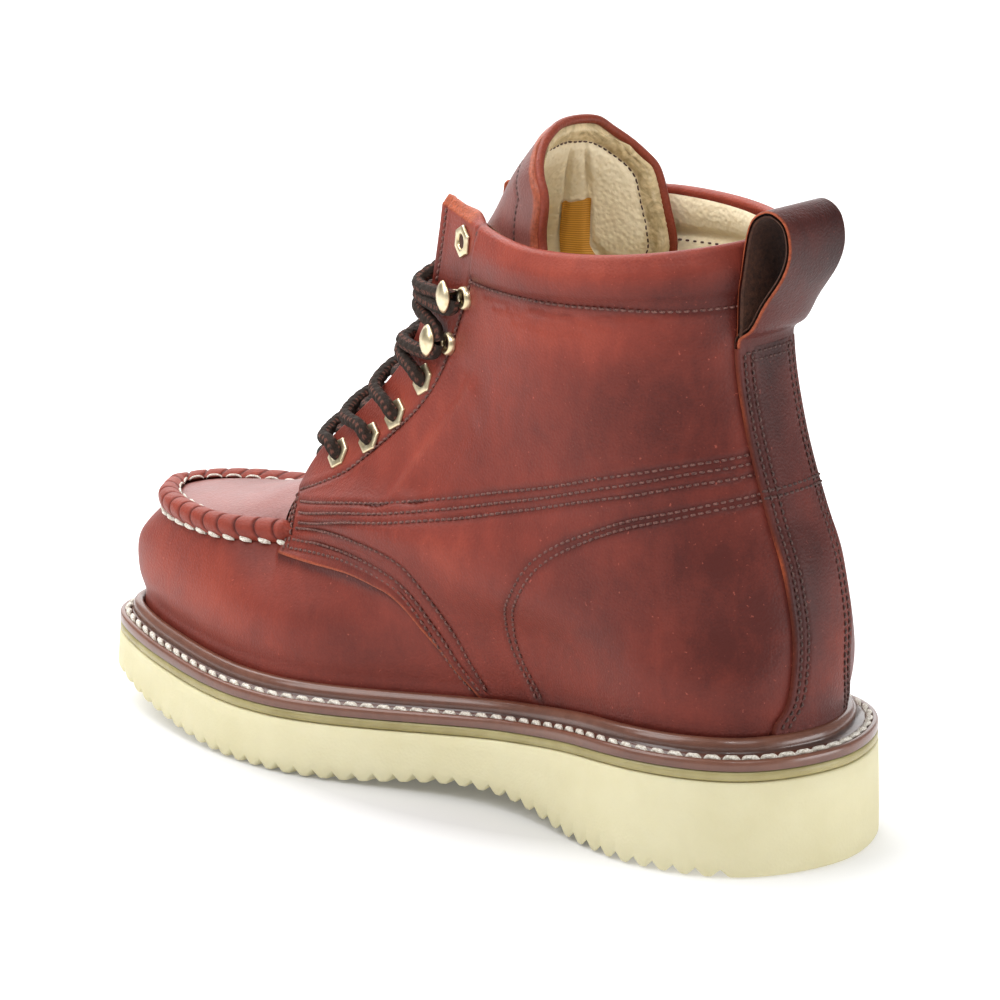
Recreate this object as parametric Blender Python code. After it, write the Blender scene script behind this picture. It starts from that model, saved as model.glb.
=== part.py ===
"""Moc toe work boot, right foot, modelled as separate closed solids.

Frame: toe toward -Y, up +Z, the wearer's left (inner side of the foot) toward +X.
The tables are in millimetres: "along" runs from the back of the heel to the toe,
"across" is positive on the inner side, "up" is above the floor.
"""
import math

import bmesh
import bpy
import numpy as np

MM = 0.001


def table(names, *rows):
    """Named columns of a short table, a row for each section."""
    return dict(zip(names.split(), np.array(rows, float).T))


# Driving dimensions
BOOT_LENGTH = 300.0
TOE_ACROSS = 6.5
GAP = 0.3
WALL = 2.6
MIDSOLE_THICK = 3.2
WELT_THICK = 3.6
BEAD_RISE = 8.2
BEAD_WIDTH = 4.4
SOLE_FLARE = 1.0
RIB_PITCH = 7.0
RIB_DEPTH = 2.1
RIB_FLAT = 2.2
INSOLE_THICK = 4.0
RIDGE_RISE = 4.2
RIDGE_HALF = 4.0
WING_STEP = 1.1
BACKSTAY_THICK = 1.8
LOOP_HALF = 14.0
LOOP_THICK = 2.0
EYELET_HOLE = 2.5
EYELET_FLANGE = 5.0
LACE_RADIUS = 2.2
LACE_CLEAR = 0.8
LACE_END_W = 0.24

# Plan of the sole at the welt: half widths on the inner and outer side
SOLE_PLAN = table(
    "along inner outer",
    (8, 27.0, 27.0),
    (22, 40.0, 40.0),
    (50, 46.5, 46.5),
    (115, 33.6, 43.0),
    (200, 52.4, 58.0),
    (258, 41.6, 46.9),
    (294, 24.0, 20.2),
)
# Heights: top of the midsole, bottom of the outsole, and how far the welt stands out
SOLE_SIDE = table(
    "along top bottom reach",
    (0, 34.0, 0.0, 11.5),
    (50, 33.5, 0.0, 10.0),
    (70, 32.0, 0.0, 9.6),
    (110, 26.5, 4.4, 9.5),
    (125, 25.0, 4.8, 9.5),
    (170, 22.3, 0.6, 9.5),
    (185, 21.9, 0.0, 9.5),
    (212, 21.6, 0.0, 9.5),
    (260, 24.1, 4.75, 9.3),
    (300, 27.3, 11.3, 9.0),
)
# Lower rails of the upper: rise above the midsole and bulge beyond the feather edge
WALL_RAILS = table(
    "along rise_a bulge_a rise_b bulge_in_b bulge_out_b rise_c bulge_in_c bulge_out_c",
    (0, 9, 0.4, 16, 1.0, 2.2, 25, 1.2, 2.8),
    (30, 9, 0.5, 16, 0.8, 4.0, 25, 0.8, 5.4),
    (60, 9, 0.3, 16.5, 1.4, 3.2, 26, 2.0, 4.6),
    (115, 9, 0.5, 19, 2.6, 1.8, 31, 5.6, 3.0),
    (205, 9, 0.5, 19, 1.8, 1.6, 31, 0.0, -1.0),
    (260, 9, 0.6, 19, 3.2, 3.0, 32, 2.4, 1.6),
    (300, 9, 0.6, 19, 3.2, 3.2, 31, 2.6, 2.6),
)
# Moc seam in plan on both sides, from the throat to the toe
SEAM_INNER = ((213.5, 26.5), (233, 31.3), (259, 26.6), (275, 17.6), (283.5, 5.0))
SEAM_OUTER = ((213.5, -27.0), (233, -29.5), (250, -26.0), (269, -17.5), (279.5, -7.0), (283.5, 5.0))
SEAM_UP = table("share up", (0, 73.0), (0.4, 72.0), (1, 72.5))
# The plug between the seams: crown above the seam and how far it bows to the toe
PLUG = table("share crown bow", (0, 12.5, 6.0), (0.25, 8.0, 4.5), (0.5, 4.5, 2.5), (0.8, 2.2, 0.6), (1, 0.0, 0.0))
PLUG_EDGE = 0.15
# Upper rails: ovals in plan from the back of the heel to the lacing edge
OVALS = table(
    "up_back up_front dip_in dip_out back middle half_in half_out front edge slope",
    (74, 73.0, 0, 0, 12.2, 72, 37.0, 42.0, 213.5, 26.5, -0.35),
    (88, 81.5, 0, 0, 15.0, 76, 36.2, 41.0, 216.5, 18.5, -0.75),
    (108, 98.5, 0, 0, 22.2, 84, 34.8, 37.6, 209.0, 14.5, -0.45),
    (135, 134.5, 0, 0, 31.4, 90, 35.0, 36.6, 173.0, 13.5, -0.34),
    (155, 155.0, 0, 0, 35.6, 91, 36.0, 36.5, 162.0, 14.0, -0.34),
    (174, 168.0, 1, 1, 36.6, 92, 36.8, 37.3, 157.0, 15.0, -0.36),
    (184, 181.0, 4, -2, 36.2, 92, 38.8, 39.2, 154.0, 15.8, -0.40),
    (192.5, 193.5, 6, -4, 37.6, 92, 37.4, 38.0, 152.0, 16.0, -0.40),
)
OVAL_BOW = 2.5
HEEL_SHIFT = -2.8
# Place of each rail on the way up the wall
RAIL_AT = np.array([0, 9, 20, 32, 48, 60, 82, 112, 132, 150, 160, 171], float)
SEAM_AT = 48.0
PLUG_AT = 60.0
TOP_AT = 171.0
THROAT = 0.62
THROAT_ALONG = 208.0
# Columns of the upper and the welt: both quarters, then one side of the toe
RING_QUARTER = np.linspace(-THROAT, THROAT, 33)
RING_TOE = np.linspace(THROAT, 1, 13)
# Wall thickness on the way up: the cuff is padded
THICKNESS = table("at thick", (0, WALL), (148, WALL), (160, 5.0), (168, 4.2), (171, 2.6))
# Lower edge of the wing, where the quarter is laid over the vamp
WING = table("along up", (126, 30.0), (138, 48.5), (152, 60.0), (178, 65.5), (207, 66.6), (213.5, 66.0))
# Half width of the backstay
BACKSTAY = table("at half", (8.8, 19.0), (22, 15.5), (40, 14.0), (134, 14.0))
# Finger loop behind the cuff, side view
LOOP_PATH = (
    (33.6, 159.6), (30.2, 166.0), (25.6, 174.0), (20.0, 184.5), (18.2, 192.5), (20.2, 199.6),
    (25.6, 202.4), (31.0, 199.8), (33.8, 192.0), (34.2, 181.0), (34.2, 170.0), (34.3, 163.0),
)
# Tongue: below the cuff it lies under the quarters, its flanks reaching back behind the lacing edge
TONGUE_LACED = table(
    "at flank thick",
    (70, 12, 2.4),
    (82, 17, 2.6),
    (97, 21, 2.8),
    (112, 25, 3.2),
    (128, 31, 4.0),
    (140, 36, 4.6),
)
# Above the cuff it leans back as a deep half oval: centre, half width and depth of the oval
TONGUE_FREE = table(
    "along up half depth drop thick",
    (138.5, 188.0, 28.5, 35, 0, 5.4),
    (127.5, 204.0, 30.5, 28, 3, 5.4),
    (117.5, 215.5, 28.5, 17, 9, 5.0),
    (114.5, 219.4, 24, 11, 9, 4.4),
    (113, 220.8, 17, 6, 5, 3.0),
)
TONGUE_TUCKED = table("share span thick", (0.11, 0.20, 1.4), (0.02, 0.26, 1.8))
TONGUE_CLEAR = 0.5
TONGUE_BRIDGE = 0.4
TONGUE_CROWN = 1.6
# Eyelets and hooks on the inner side; the outer side mirrors them
EYELETS = table(
    "along across up",
    (195.2, 19.0, 101.4),
    (179.8, 20.6, 109.4),
    (168.8, 20.3, 119.1),
    (157.3, 19.6, 132.4),
    (136.7, 23.7, 181.2),
)
HOOKS = table("along across up", (147.6, 20.6, 146.7), (138.6, 22.8, 163.1))


# Curves and surfaces

def smooth(xs, ys, at):
    """Smooth curve through table values that doesn't overshoot them."""
    gaps = np.diff(xs)
    slopes = np.diff(ys) / gaps
    tangents = np.zeros(len(xs))
    tangents[1:-1] = (slopes[:-1] * gaps[1:] + slopes[1:] * gaps[:-1]) / (gaps[1:] + gaps[:-1])
    limit = 3 * np.minimum(np.abs(slopes[:-1]), np.abs(slopes[1:]))
    limit[slopes[:-1] * slopes[1:] <= 0] = 0
    tangents[1:-1] = np.clip(tangents[1:-1], -limit, limit)
    at = np.clip(np.asarray(at, float), xs[0], xs[-1])
    k = np.clip(np.searchsorted(xs, at, side="right") - 1, 0, len(gaps) - 1)
    t = (at - xs[k]) / gaps[k]
    start = ys[k] * (1 + 2 * t) * (1 - t) ** 2 + tangents[k] * gaps[k] * t * (1 - t) ** 2
    return start + ys[k + 1] * t * t * (3 - 2 * t) - tangents[k + 1] * gaps[k] * t * t * (1 - t)


def between(knots, rows, at):
    """Cubic through rows of points (one row a knot), evaluated for each point of the rows."""
    gaps = np.diff(knots)[:, None, None]
    slopes = np.diff(rows, axis=0) / gaps
    tangents = np.empty_like(rows)
    tangents[0], tangents[-1] = slopes[0], slopes[-1]
    tangents[1:-1] = (slopes[:-1] * gaps[1:] + slopes[1:] * gaps[:-1]) / (gaps[1:] + gaps[:-1])
    k = np.clip(np.searchsorted(knots, at, side="right") - 1, 0, len(knots) - 2)
    n = np.arange(rows.shape[1])
    gap = np.diff(knots)[k][:, None]
    t = ((at - knots[k]) / np.diff(knots)[k])[:, None]
    start = rows[k, n] * (1 + 2 * t) * (1 - t) ** 2 + tangents[k, n] * gap * t * (1 - t) ** 2
    end = rows[k + 1, n] * t * t * (3 - 2 * t) - tangents[k + 1, n] * gap * t * t * (1 - t)
    return start + end


def path(points, count, closed=False):
    """Smooth path through points, as count points spaced evenly."""
    points = np.asarray(points, float)
    extra = 3 if closed else 0
    if closed:
        points = np.vstack([points[-extra:], points, points[: extra + 1]])
    knots = np.concatenate([[0], np.cumsum(np.sqrt(np.linalg.norm(np.diff(points, axis=0), axis=1)))])
    at = np.linspace(knots[extra], knots[-1 - extra], 40 * len(points))
    dense = between(knots, np.repeat(points[:, None], len(at), axis=1), at)
    run = np.concatenate([[0], np.cumsum(np.linalg.norm(np.diff(dense, axis=0), axis=1))])
    even = np.linspace(0, run[-1], count)
    return np.stack([np.interp(even, run, column) for column in dense.T], axis=1)


def sole_outline():
    """Closed plan of the sole with outward normals, from the heel by the inner side."""
    rows = list(zip(*SOLE_PLAN.values()))
    ring = [(0, 0)] + [(a, i) for a, i, _ in rows] + [(BOOT_LENGTH, TOE_ACROSS)]
    ring += [(a, -o) for a, _, o in rows[::-1]]
    plan = path(ring, 2401, closed=True)
    tangent = np.gradient(plan, axis=0)
    tangent[0] = tangent[-1] = plan[1] - plan[-2]
    normal = np.stack([-tangent[:, 1], tangent[:, 0]], axis=1)
    normal /= np.linalg.norm(normal, axis=1)[:, None]
    if normal[np.argmax(plan[:, 1]), 1] < 0:
        normal = -normal
    return plan, normal


PLAN, PLAN_NORMAL = sole_outline()
TOE_INDEX = int(np.argmin(np.linalg.norm(PLAN - (BOOT_LENGTH, TOE_ACROSS), axis=1)))
SIDE_INDEX = {
    1: np.arange(0, TOE_INDEX + 1),
    -1: np.arange(len(PLAN) - 1, TOE_INDEX - 1, -1),
}
CENTRE_ACROSS = (PLAN[:, 1].max() + PLAN[:, 1].min()) / 2
CENTRE_ALONG = (PLAN[:, 0].max() + PLAN[:, 0].min()) / 2


def side(column, along):
    return smooth(SOLE_SIDE["along"], SOLE_SIDE[column], along)


def feather_shares():
    """For each side, how far round each outline point is: 0 at the heel, THROAT, 1 at the toe."""
    shares = {}
    for sign, index in SIDE_INDEX.items():
        feather = PLAN[index] - PLAN_NORMAL[index] * side("reach", PLAN[index, 0])[:, None]
        run = np.concatenate([[0], np.cumsum(np.linalg.norm(np.diff(feather, axis=0), axis=1))])
        throat = run[np.argmax(feather[:, 0] >= THROAT_ALONG)]
        back = THROAT * run / throat
        front = THROAT + (1 - THROAT) * (run - throat) / (run[-1] - throat)
        shares[sign] = np.where(run <= throat, back, front)
    return shares


SHARES = feather_shares()


def by_side(u, function):
    """Evaluates function(sign, |u|) on the inner (u >= 0) and outer side."""
    u = np.asarray(u, float)
    inner, outer = function(1, np.abs(u)), function(-1, np.abs(u))
    return np.where((u >= 0)[:, None], inner, outer)


def outline_at(u):
    """Outline point and outward normal for each u, as along, across, normal along, normal across."""
    def one(sign, a):
        both = np.hstack([PLAN, PLAN_NORMAL])[SIDE_INDEX[sign]]
        return np.stack([np.interp(a, SHARES[sign], column) for column in both.T], axis=1)
    return by_side(u, one)


def wall_rail(u, letter):
    """A rail of the lower wall, at a table rise above the midsole."""
    spot = outline_at(u)
    along = spot[:, 0]

    def value(name):
        return smooth(WALL_RAILS["along"], WALL_RAILS[name], along)

    if letter is None:
        rise, bulge = np.full(len(along), GAP), np.zeros(len(along))
    elif letter == "a":
        rise, bulge = value("rise_a"), value("bulge_a")
    else:
        rise = value("rise_" + letter)
        bulge = np.where(u >= 0, value("bulge_in_" + letter), value("bulge_out_" + letter))
    inset = (side("reach", along) - bulge)[:, None]
    plan = spot[:, :2] - spot[:, 2:] * inset
    return np.column_stack([plan, side("top", plan[:, 0]) + rise])


def oval_rail(u, row):
    """A rail of the quarters: an oval in plan that ends at the lacing edge."""
    size = {name: OVALS[name][row] for name in OVALS}

    def one(sign, a):
        half = size["half_in"] if sign > 0 else size["half_out"]
        dip = size["dip_in"] if sign > 0 else size["dip_out"]
        turn = np.linspace(0, math.pi / 2, 200)
        back_along = size["middle"] - (size["middle"] - size["back"]) * np.cos(turn) ** (2 / OVAL_BOW)
        back_across = half * np.sin(turn) ** (2 / OVAL_BOW)
        length = size["front"] - size["middle"]
        t = np.linspace(0, 1, 200)[1:]
        ease = t * t * (3 - 2 * t)
        front_across = half * (1 - ease) + size["edge"] * ease - size["slope"] * length * t * t * (1 - t)
        along = np.concatenate([back_along, size["middle"] + length * t])
        across = np.concatenate([back_across, front_across])
        run = np.concatenate([[0], np.cumsum(np.hypot(np.diff(along), np.diff(across)))])
        at = np.clip(a / THROAT, 0, 1) * run[-1]
        s, x = np.interp(at, run, along), np.interp(at, run, across) * sign
        x = x + HEEL_SHIFT * np.clip((size["middle"] - s) / (size["middle"] - size["back"]), 0, 1) ** 2
        share = (s - size["back"]) / (size["front"] - size["back"])
        up = size["up_back"] + (size["up_front"] - size["up_back"]) * share - dip * np.sin(np.pi * share)
        return np.column_stack([s, x, up])
    return by_side(u, one)


SEAM_PATHS = {1: path(SEAM_INNER, 400), -1: path(SEAM_OUTER, 400)}


def toe_share(u):
    return np.clip((np.abs(u) - THROAT) / (1 - THROAT), 0, 1)


def seam_rail(u):
    """The moc seam, from the throat to the toe."""
    def one(sign, a):
        share = toe_share(a)
        even = np.linspace(0, 1, 400)
        plan = [np.interp(share, even, column) for column in SEAM_PATHS[sign].T]
        return np.column_stack(plan + [smooth(SEAM_UP["share"], SEAM_UP["up"], share)])
    return by_side(u, one)


def plug_point(u, f):
    """The toe plug: f runs from the inner seam (0) to the outer seam (1)."""
    share = toe_share(u)
    inner, outer = seam_rail(np.abs(u)), seam_rail(-np.abs(u) - 1e-9)
    arch = np.clip(4 * f * (1 - f), 0, 1)
    point = inner + (outer - inner) * f[:, None]
    point[:, 0] += smooth(PLUG["share"], PLUG["bow"], share) * arch
    point[:, 2] += smooth(PLUG["share"], PLUG["crown"], share) * arch ** 0.7
    return point


def plug_share(u, at):
    """Where a place between the seam and the plug's edge falls across the plug."""
    f = PLUG_EDGE * (at - SEAM_AT) / (PLUG_AT - SEAM_AT)
    return np.where(u >= 0, f, 1 - f)


def shell(u, at):
    """The upper's leather before ridge and overlays: u round the foot, at up the wall."""
    u, at = np.asarray(u, float), np.asarray(at, float)
    toe = np.abs(u) > THROAT
    rails = [wall_rail(u, letter) for letter in (None, "a", "b", "c")]
    for row in range(len(OVALS["back"])):
        rail = oval_rail(u, row)
        if row == 0:
            rail[toe] = seam_rail(u)[toe]
        elif toe.any():
            rail[toe] = plug_point(u, plug_share(u, np.full(len(u), PLUG_AT)))[toe]
        rails.append(rail)
    point = between(RAIL_AT, np.array(rails), at)
    near = (np.abs(u) <= THROAT) & (at > SEAM_AT) & (at < PLUG_AT + 20)
    if near.any():
        edge = np.where(u >= 0, THROAT, -THROAT)
        upto = np.minimum(at, PLUG_AT)
        shift = plug_point(edge, plug_share(u, upto)) - between(
            RAIL_AT, np.array([wall_rail(edge, letter) for letter in (None, "a", "b", "c")]
                              + [oval_rail(edge, row) for row in range(len(OVALS["back"]))]), upto)
        fade = (np.abs(u) / THROAT) ** 14 * np.clip((PLUG_AT + 20 - at) / 20, 0, 1) ** 2
        point = point + np.where(near[:, None], shift * fade[:, None], 0)
    return point


def step_up(low, high, value):
    t = np.clip((value - low) / (high - low), 0, 1)
    return t * t * (3 - 2 * t)


def vamp_recess(u, at, point):
    """How far the vamp lies below the quarter that is laid over it."""
    along, up = point[:, 0], point[:, 2]
    lower = smooth(WING["along"], WING["up"], along)
    over = step_up(-1.5, 1.5, up - lower) * step_up(-1, 1, 214.5 - along)
    over = np.where(np.abs(u) > THROAT + 1e-6, 0, np.where(along < WING["along"][0], 1, over))
    return WING_STEP * (1 - over) * step_up(6, 12, at)


def shell_normal(u, at):
    """Outward normals of the shell on the quarters."""
    du, dv = 1e-4, 0.05
    low, high = np.clip(at - dv, 0, TOP_AT), np.clip(at + dv, 0, TOP_AT)
    round_foot = shell(u + du, at) - shell(u - du, at)
    upward = shell(u, high) - shell(u, low)
    normal = np.cross(upward, round_foot)
    normal /= np.linalg.norm(normal, axis=1)[:, None]
    out = np.sum(normal[:, :2] * (shell(u, at)[:, :2] - (110.0, 0.0)), axis=1)
    return normal * np.sign(out)[:, None]


def nearest_on_shell(spot):
    """The (u, at) of the quarter's surface nearest a place."""
    sign = 1 if spot[1] >= 0 else -1
    u_span, at_span = (0.25, THROAT), (60.0, TOP_AT)
    for _ in range(4):
        us, ats = np.meshgrid(np.linspace(*u_span, 25), np.linspace(*at_span, 25))
        us, ats = us.ravel(), ats.ravel()
        best = np.argmin(np.linalg.norm(shell(us * sign, ats) - spot, axis=1))
        u_step, at_step = (u_span[1] - u_span[0]) / 12, (at_span[1] - at_span[0]) / 12
        u_span = (us[best] - u_step, min(us[best] + u_step, THROAT))
        at_span = (ats[best] - at_step, min(ats[best] + at_step, TOP_AT))
    return us[best] * sign, ats[best]


# Solids

def world(points):
    """Along, across, up in millimetres to metres in the part's frame."""
    points = np.asarray(points, float)
    return np.column_stack([
        points[:, 1] - CENTRE_ACROSS, CENTRE_ALONG - points[:, 0], points[:, 2],
    ]) * MM


MATERIALS = {
    "oxblood_leather": (0.20, 0.055, 0.035, 1, 0.5),
    "lining_leather": (0.62, 0.50, 0.34, 1, 0.7),
    "cream_foam": (0.85, 0.80, 0.55, 1, 0.7),
    "olive_rubber": (0.42, 0.36, 0.20, 1, 0.6),
    "brown_welt": (0.16, 0.07, 0.045, 1, 0.45),
    "brass": (0.80, 0.58, 0.25, 1, 0.3),
    "lace_cord": (0.26, 0.13, 0.08, 1, 0.8),
}


def material(slot):
    found = bpy.data.materials.get(slot)
    if found:
        return found
    red, green, blue, alpha, rough = MATERIALS[slot]
    made = bpy.data.materials.new(slot)
    made.use_nodes = True
    shader = made.node_tree.nodes["Principled BSDF"]
    shader.inputs["Base Color"].default_value = (red, green, blue, alpha)
    shader.inputs["Roughness"].default_value = rough
    shader.inputs["Metallic"].default_value = 1.0 if slot == "brass" else 0.0
    return made


def add_solid(name, points, faces, slot):
    """One closed mesh as a named object; repeated points are merged and normals turned out."""
    mesh = bpy.data.meshes.new(name)
    grid = bmesh.new()
    corners = [grid.verts.new(p) for p in world(points)]
    for face in faces:
        used = list(dict.fromkeys(face))
        if len(used) > 2:
            grid.faces.new([corners[i] for i in used])
    bmesh.ops.remove_doubles(grid, verts=grid.verts, dist=1e-6)
    bmesh.ops.dissolve_degenerate(grid, edges=grid.edges, dist=1e-6)
    loose = [v for v in grid.verts if not v.link_faces]
    bmesh.ops.delete(grid, geom=loose, context="VERTS")
    bmesh.ops.triangulate(grid, faces=grid.faces)
    bmesh.ops.recalc_face_normals(grid, faces=grid.faces)
    grid.to_mesh(mesh)
    grid.free()
    mesh.materials.append(material(slot))
    made = bpy.data.objects.new(name, mesh)
    BOOT.objects.link(made)
    return made


def tube_faces(rings, around, cap=True):
    """Faces of stacked rings that each have the same count of points."""
    faces = []
    for row in range(rings - 1):
        for k in range(around):
            a, b = row * around + k, row * around + (k + 1) % around
            faces.append((a, b, b + around, a + around))
    if cap:
        faces.append(tuple(range(around))[::-1])
        faces.append(tuple(range((rings - 1) * around, rings * around)))
    return faces


def half_width(sign, offset, along):
    """Across of the outline, moved out by offset, at places along the boot."""
    index = SIDE_INDEX[sign]
    edge = PLAN[index] + PLAN_NORMAL[index] * np.asarray(offset).reshape(-1, 1)
    order = np.argsort(edge[:, 0], kind="stable")
    return np.interp(along, edge[order, 0], edge[order, 1])


def reach_of(extra):
    """Inset of each outline point that leaves extra beyond the welt's reach."""
    return {sign: -side("reach", PLAN[index, 0]) - extra for sign, index in SIDE_INDEX.items()}


def span_along(offsets):
    ends = [PLAN[index] + PLAN_NORMAL[index] * np.asarray(offsets[sign]).reshape(-1, 1)
            for sign, index in SIDE_INDEX.items()]
    return max(e[0, 0] for e in ends), min(e[-1, 0] for e in ends)


END_STEPS = np.array([0.0, 0.25, 1.0, 2.2, 4.0, 6.5, 10.0])


def stations(low, high, middle):
    return np.concatenate([low + END_STEPS, middle, (high - END_STEPS)[::-1]])


def slab(name, slot, layers, along):
    """A layer of the sole as sections across the boot: each layer is (offsets, heights)."""
    share = (along - along[0]) / (along[-1] - along[0])
    inner, outer = [], []
    for offsets, up in layers:
        low, high = span_along(offsets)
        place = low + (high - low) * share
        inner.append(np.column_stack([place, half_width(1, offsets[1], place), up]))
        outer.append(np.column_stack([place, half_width(-1, offsets[-1], place), up]))
    rings = np.stack(inner + outer[::-1], axis=1)
    return add_solid(name, rings.reshape(-1, 3), tube_faces(len(along), rings.shape[1], cap=False), slot)


def build_outsole():
    flare = {sign: np.full(len(index), SOLE_FLARE) for sign, index in SIDE_INDEX.items()}
    middle_bulge = {sign: np.full(len(index), 0.7) for sign, index in SIDE_INDEX.items()}
    flush = {sign: np.zeros(len(index)) for sign, index in SIDE_INDEX.items()}
    low, high = -SOLE_FLARE, BOOT_LENGTH + SOLE_FLARE
    ribs = np.arange(14.0, BOOT_LENGTH - 14.0, RIB_PITCH)
    notch = (RIB_PITCH - RIB_FLAT) / 2
    middle = np.sort(np.concatenate([ribs, ribs + RIB_FLAT, ribs + RIB_FLAT + notch]))
    along = stations(low, high, middle)
    groove = np.isin(along, ribs + RIB_FLAT + notch)
    under = side("bottom", along) + np.where(groove, RIB_DEPTH, 0.0)
    over = side("top", along) - MIDSOLE_THICK - GAP
    shoulder = under * 0.45 + over * 0.55
    inside = [(flare, under), (middle_bulge, shoulder), (flush, over)]
    return slab("outsole", "cream_foam", inside, along)


def build_midsole():
    flush = {sign: np.zeros(len(index)) for sign, index in SIDE_INDEX.items()}
    along = stations(0.0, BOOT_LENGTH, np.linspace(14, BOOT_LENGTH - 14, 36))
    over = side("top", along)
    return slab("midsole", "olive_rubber", [(flush, over - MIDSOLE_THICK), (flush, over)], along)


def build_insole():
    inset = reach_of(WALL + 0.8)
    low, high = span_along(inset)
    along = stations(low, high, np.linspace(low + 13, high - 13, 28))
    base = side("top", along) + GAP
    return slab("insole", "lining_leather", [(inset, base), (inset, base + INSOLE_THICK)], along)


def build_welt():
    """Storm welt: a band round the upper with a groove for its stitches and a raised bead."""
    u = np.concatenate([-RING_TOE[:0:-1], RING_QUARTER, RING_TOE[1:-1]])
    around = len(u)
    spot = outline_at(u)
    reach = side("reach", spot[:, 0])
    edge = [(0.0, GAP), (0.0, WELT_THICK - 0.3), (-1.8, WELT_THICK), (-2.5, WELT_THICK - 0.6),
            (-3.2, WELT_THICK)]
    bead = [(BEAD_WIDTH, WELT_THICK), (BEAD_WIDTH - 0.8, BEAD_RISE - 0.8), (BEAD_WIDTH - 2.2, BEAD_RISE),
            (0.9, BEAD_RISE - 0.6), (0.5, GAP)]
    insets = [(np.full(around, -out), rise) for out, rise in edge]
    insets += [(reach - out, rise) for out, rise in bead]
    columns = []
    for inset, rise in insets:
        plan = spot[:, :2] - spot[:, 2:] * inset[:, None]
        columns.append(np.column_stack([plan, side("top", plan[:, 0]) + rise]))
    rings = np.stack(columns, axis=1)
    count = len(insets)
    faces = tube_faces(around, count, cap=False)
    last = (around - 1) * count
    for k in range(count):
        n = (k + 1) % count
        faces.append((last + k, last + n, n, k))
    return add_solid("welt", rings.reshape(-1, 3), faces, "brown_welt")


def ridge_lift(u, at, distance):
    """How far the puckered moc seam stands up at a distance from the seam."""
    swell = np.clip(1 - (distance / RIDGE_HALF) ** 2, 0, 1) ** 1.3
    return RIDGE_RISE * swell * step_up(THROAT - 0.05, THROAT, np.abs(u))


def upper_patches():
    """Grids of the upper's surface as (u, at, point, distance from the moc seam)."""
    quarter, toe = RING_QUARTER, RING_TOE
    ring = np.concatenate([-toe[:0:-1], quarter, toe[1:]])
    low_rows = np.array([0, 9, 20, 30, 39, 44, 46.2, SEAM_AT])
    high_rows = np.array([SEAM_AT, 50.8, 54, PLUG_AT, 71, 82, 97, 112, 123, 136, 150, 155, 160, 166, TOP_AT])
    patches = []
    for columns, rows in ((ring, low_rows), (quarter, high_rows)):
        u, at = np.meshgrid(columns, rows)
        flat_u, flat_at = u.ravel(), at.ravel()
        gap = np.where(flat_at > SEAM_AT, (flat_at - SEAM_AT) * 0.67, SEAM_AT - flat_at)
        patches.append((u.shape, flat_u, flat_at, shell(flat_u, flat_at), gap))
    edge = PLUG_EDGE * (high_rows[:4] - SEAM_AT) / (PLUG_AT - SEAM_AT)
    middle = np.linspace(PLUG_EDGE, 1 - PLUG_EDGE, 7)[1:-1]
    f_row = np.concatenate([edge, middle, 1 - edge[::-1]])
    f, u = np.meshgrid(f_row, toe)
    flat_u, flat_f = u.ravel(), f.ravel()
    at = SEAM_AT + np.minimum(flat_f, 1 - flat_f) / PLUG_EDGE * (PLUG_AT - SEAM_AT)
    width = np.linalg.norm(seam_rail(flat_u) - seam_rail(-flat_u - 1e-9), axis=1)
    gap = np.minimum(np.minimum(flat_f, 1 - flat_f) * width, 12)
    patches.append((u.shape, flat_u, at, plug_point(flat_u, flat_f), gap))
    return patches


def join_patches(patches):
    """One welded grid from the patches: values of each point, and four-sided faces."""
    columns = [np.concatenate([np.column_stack([p[1], p[2], p[3], p[4]]) for p in patches])]
    values = columns[0]
    _, first, index = np.unique(np.round(values[:, 2:5], 2), axis=0, return_index=True, return_inverse=True)
    index = index.reshape(-1)
    faces, start = [], 0
    for shape, *_ in patches:
        ids = index[start:start + shape[0] * shape[1]].reshape(shape)
        start += ids.size
        for i in range(shape[0] - 1):
            for j in range(shape[1] - 1):
                face = list(dict.fromkeys((ids[i, j], ids[i, j + 1], ids[i + 1, j + 1], ids[i + 1, j])))
                if len(face) > 2:
                    faces.append(face)
    return values[first], faces


def surface_frame(points, faces):
    """Outward vertex normals, consistently turned faces and the open edges of a sheet."""
    sheet = bmesh.new()
    corners = [sheet.verts.new(p) for p in points]
    for face in faces:
        sheet.faces.new([corners[i] for i in face])
    bmesh.ops.recalc_face_normals(sheet, faces=sheet.faces)
    sheet.verts.index_update()
    sheet.normal_update()
    normals = np.array([v.normal for v in sheet.verts])
    turned = [[v.index for v in face.verts] for face in sheet.faces]
    rims = [(e.link_loops[0].vert.index, e.link_loops[0].link_loop_next.vert.index)
            for e in sheet.edges if e.is_boundary]
    sheet.free()
    outward = np.mean(np.sum(normals[:, 1:2] * points[:, 1:2], axis=1))
    if outward < 0:
        normals, turned, rims = -normals, [f[::-1] for f in turned], [(b, a) for a, b in rims]
    return normals, turned, rims


def build_upper():
    values, faces = join_patches(upper_patches())
    u, at, base, distance = values[:, 0], values[:, 1], values[:, 2:5], values[:, 5]
    normals, faces, rims = surface_frame(base, faces)
    outer = base - normals * vamp_recess(u, at, base)[:, None]
    outer[:, 2] += ridge_lift(u, at, distance)
    inner = base - normals * smooth(THICKNESS["at"], THICKNESS["thick"], at)[:, None]
    bottom = at < 0.01
    inner[bottom, 2] = base[bottom, 2]
    outer[bottom, 2] = base[bottom, 2]
    count = len(base)
    solid = faces + [[i + count for i in face[::-1]] for face in faces]
    solid += [(b, a, a + count, b + count) for a, b in rims]
    return add_solid("upper", np.vstack([outer, inner]), solid, "oxblood_leather")


def on_back(at, across):
    """The u at which the back of the heel is this far from the centre line."""
    step = 1e-3
    zero = np.zeros_like(at)
    rate = np.linalg.norm(shell(zero + step, at) - shell(zero, at), axis=1) / step
    return across / rate


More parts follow.
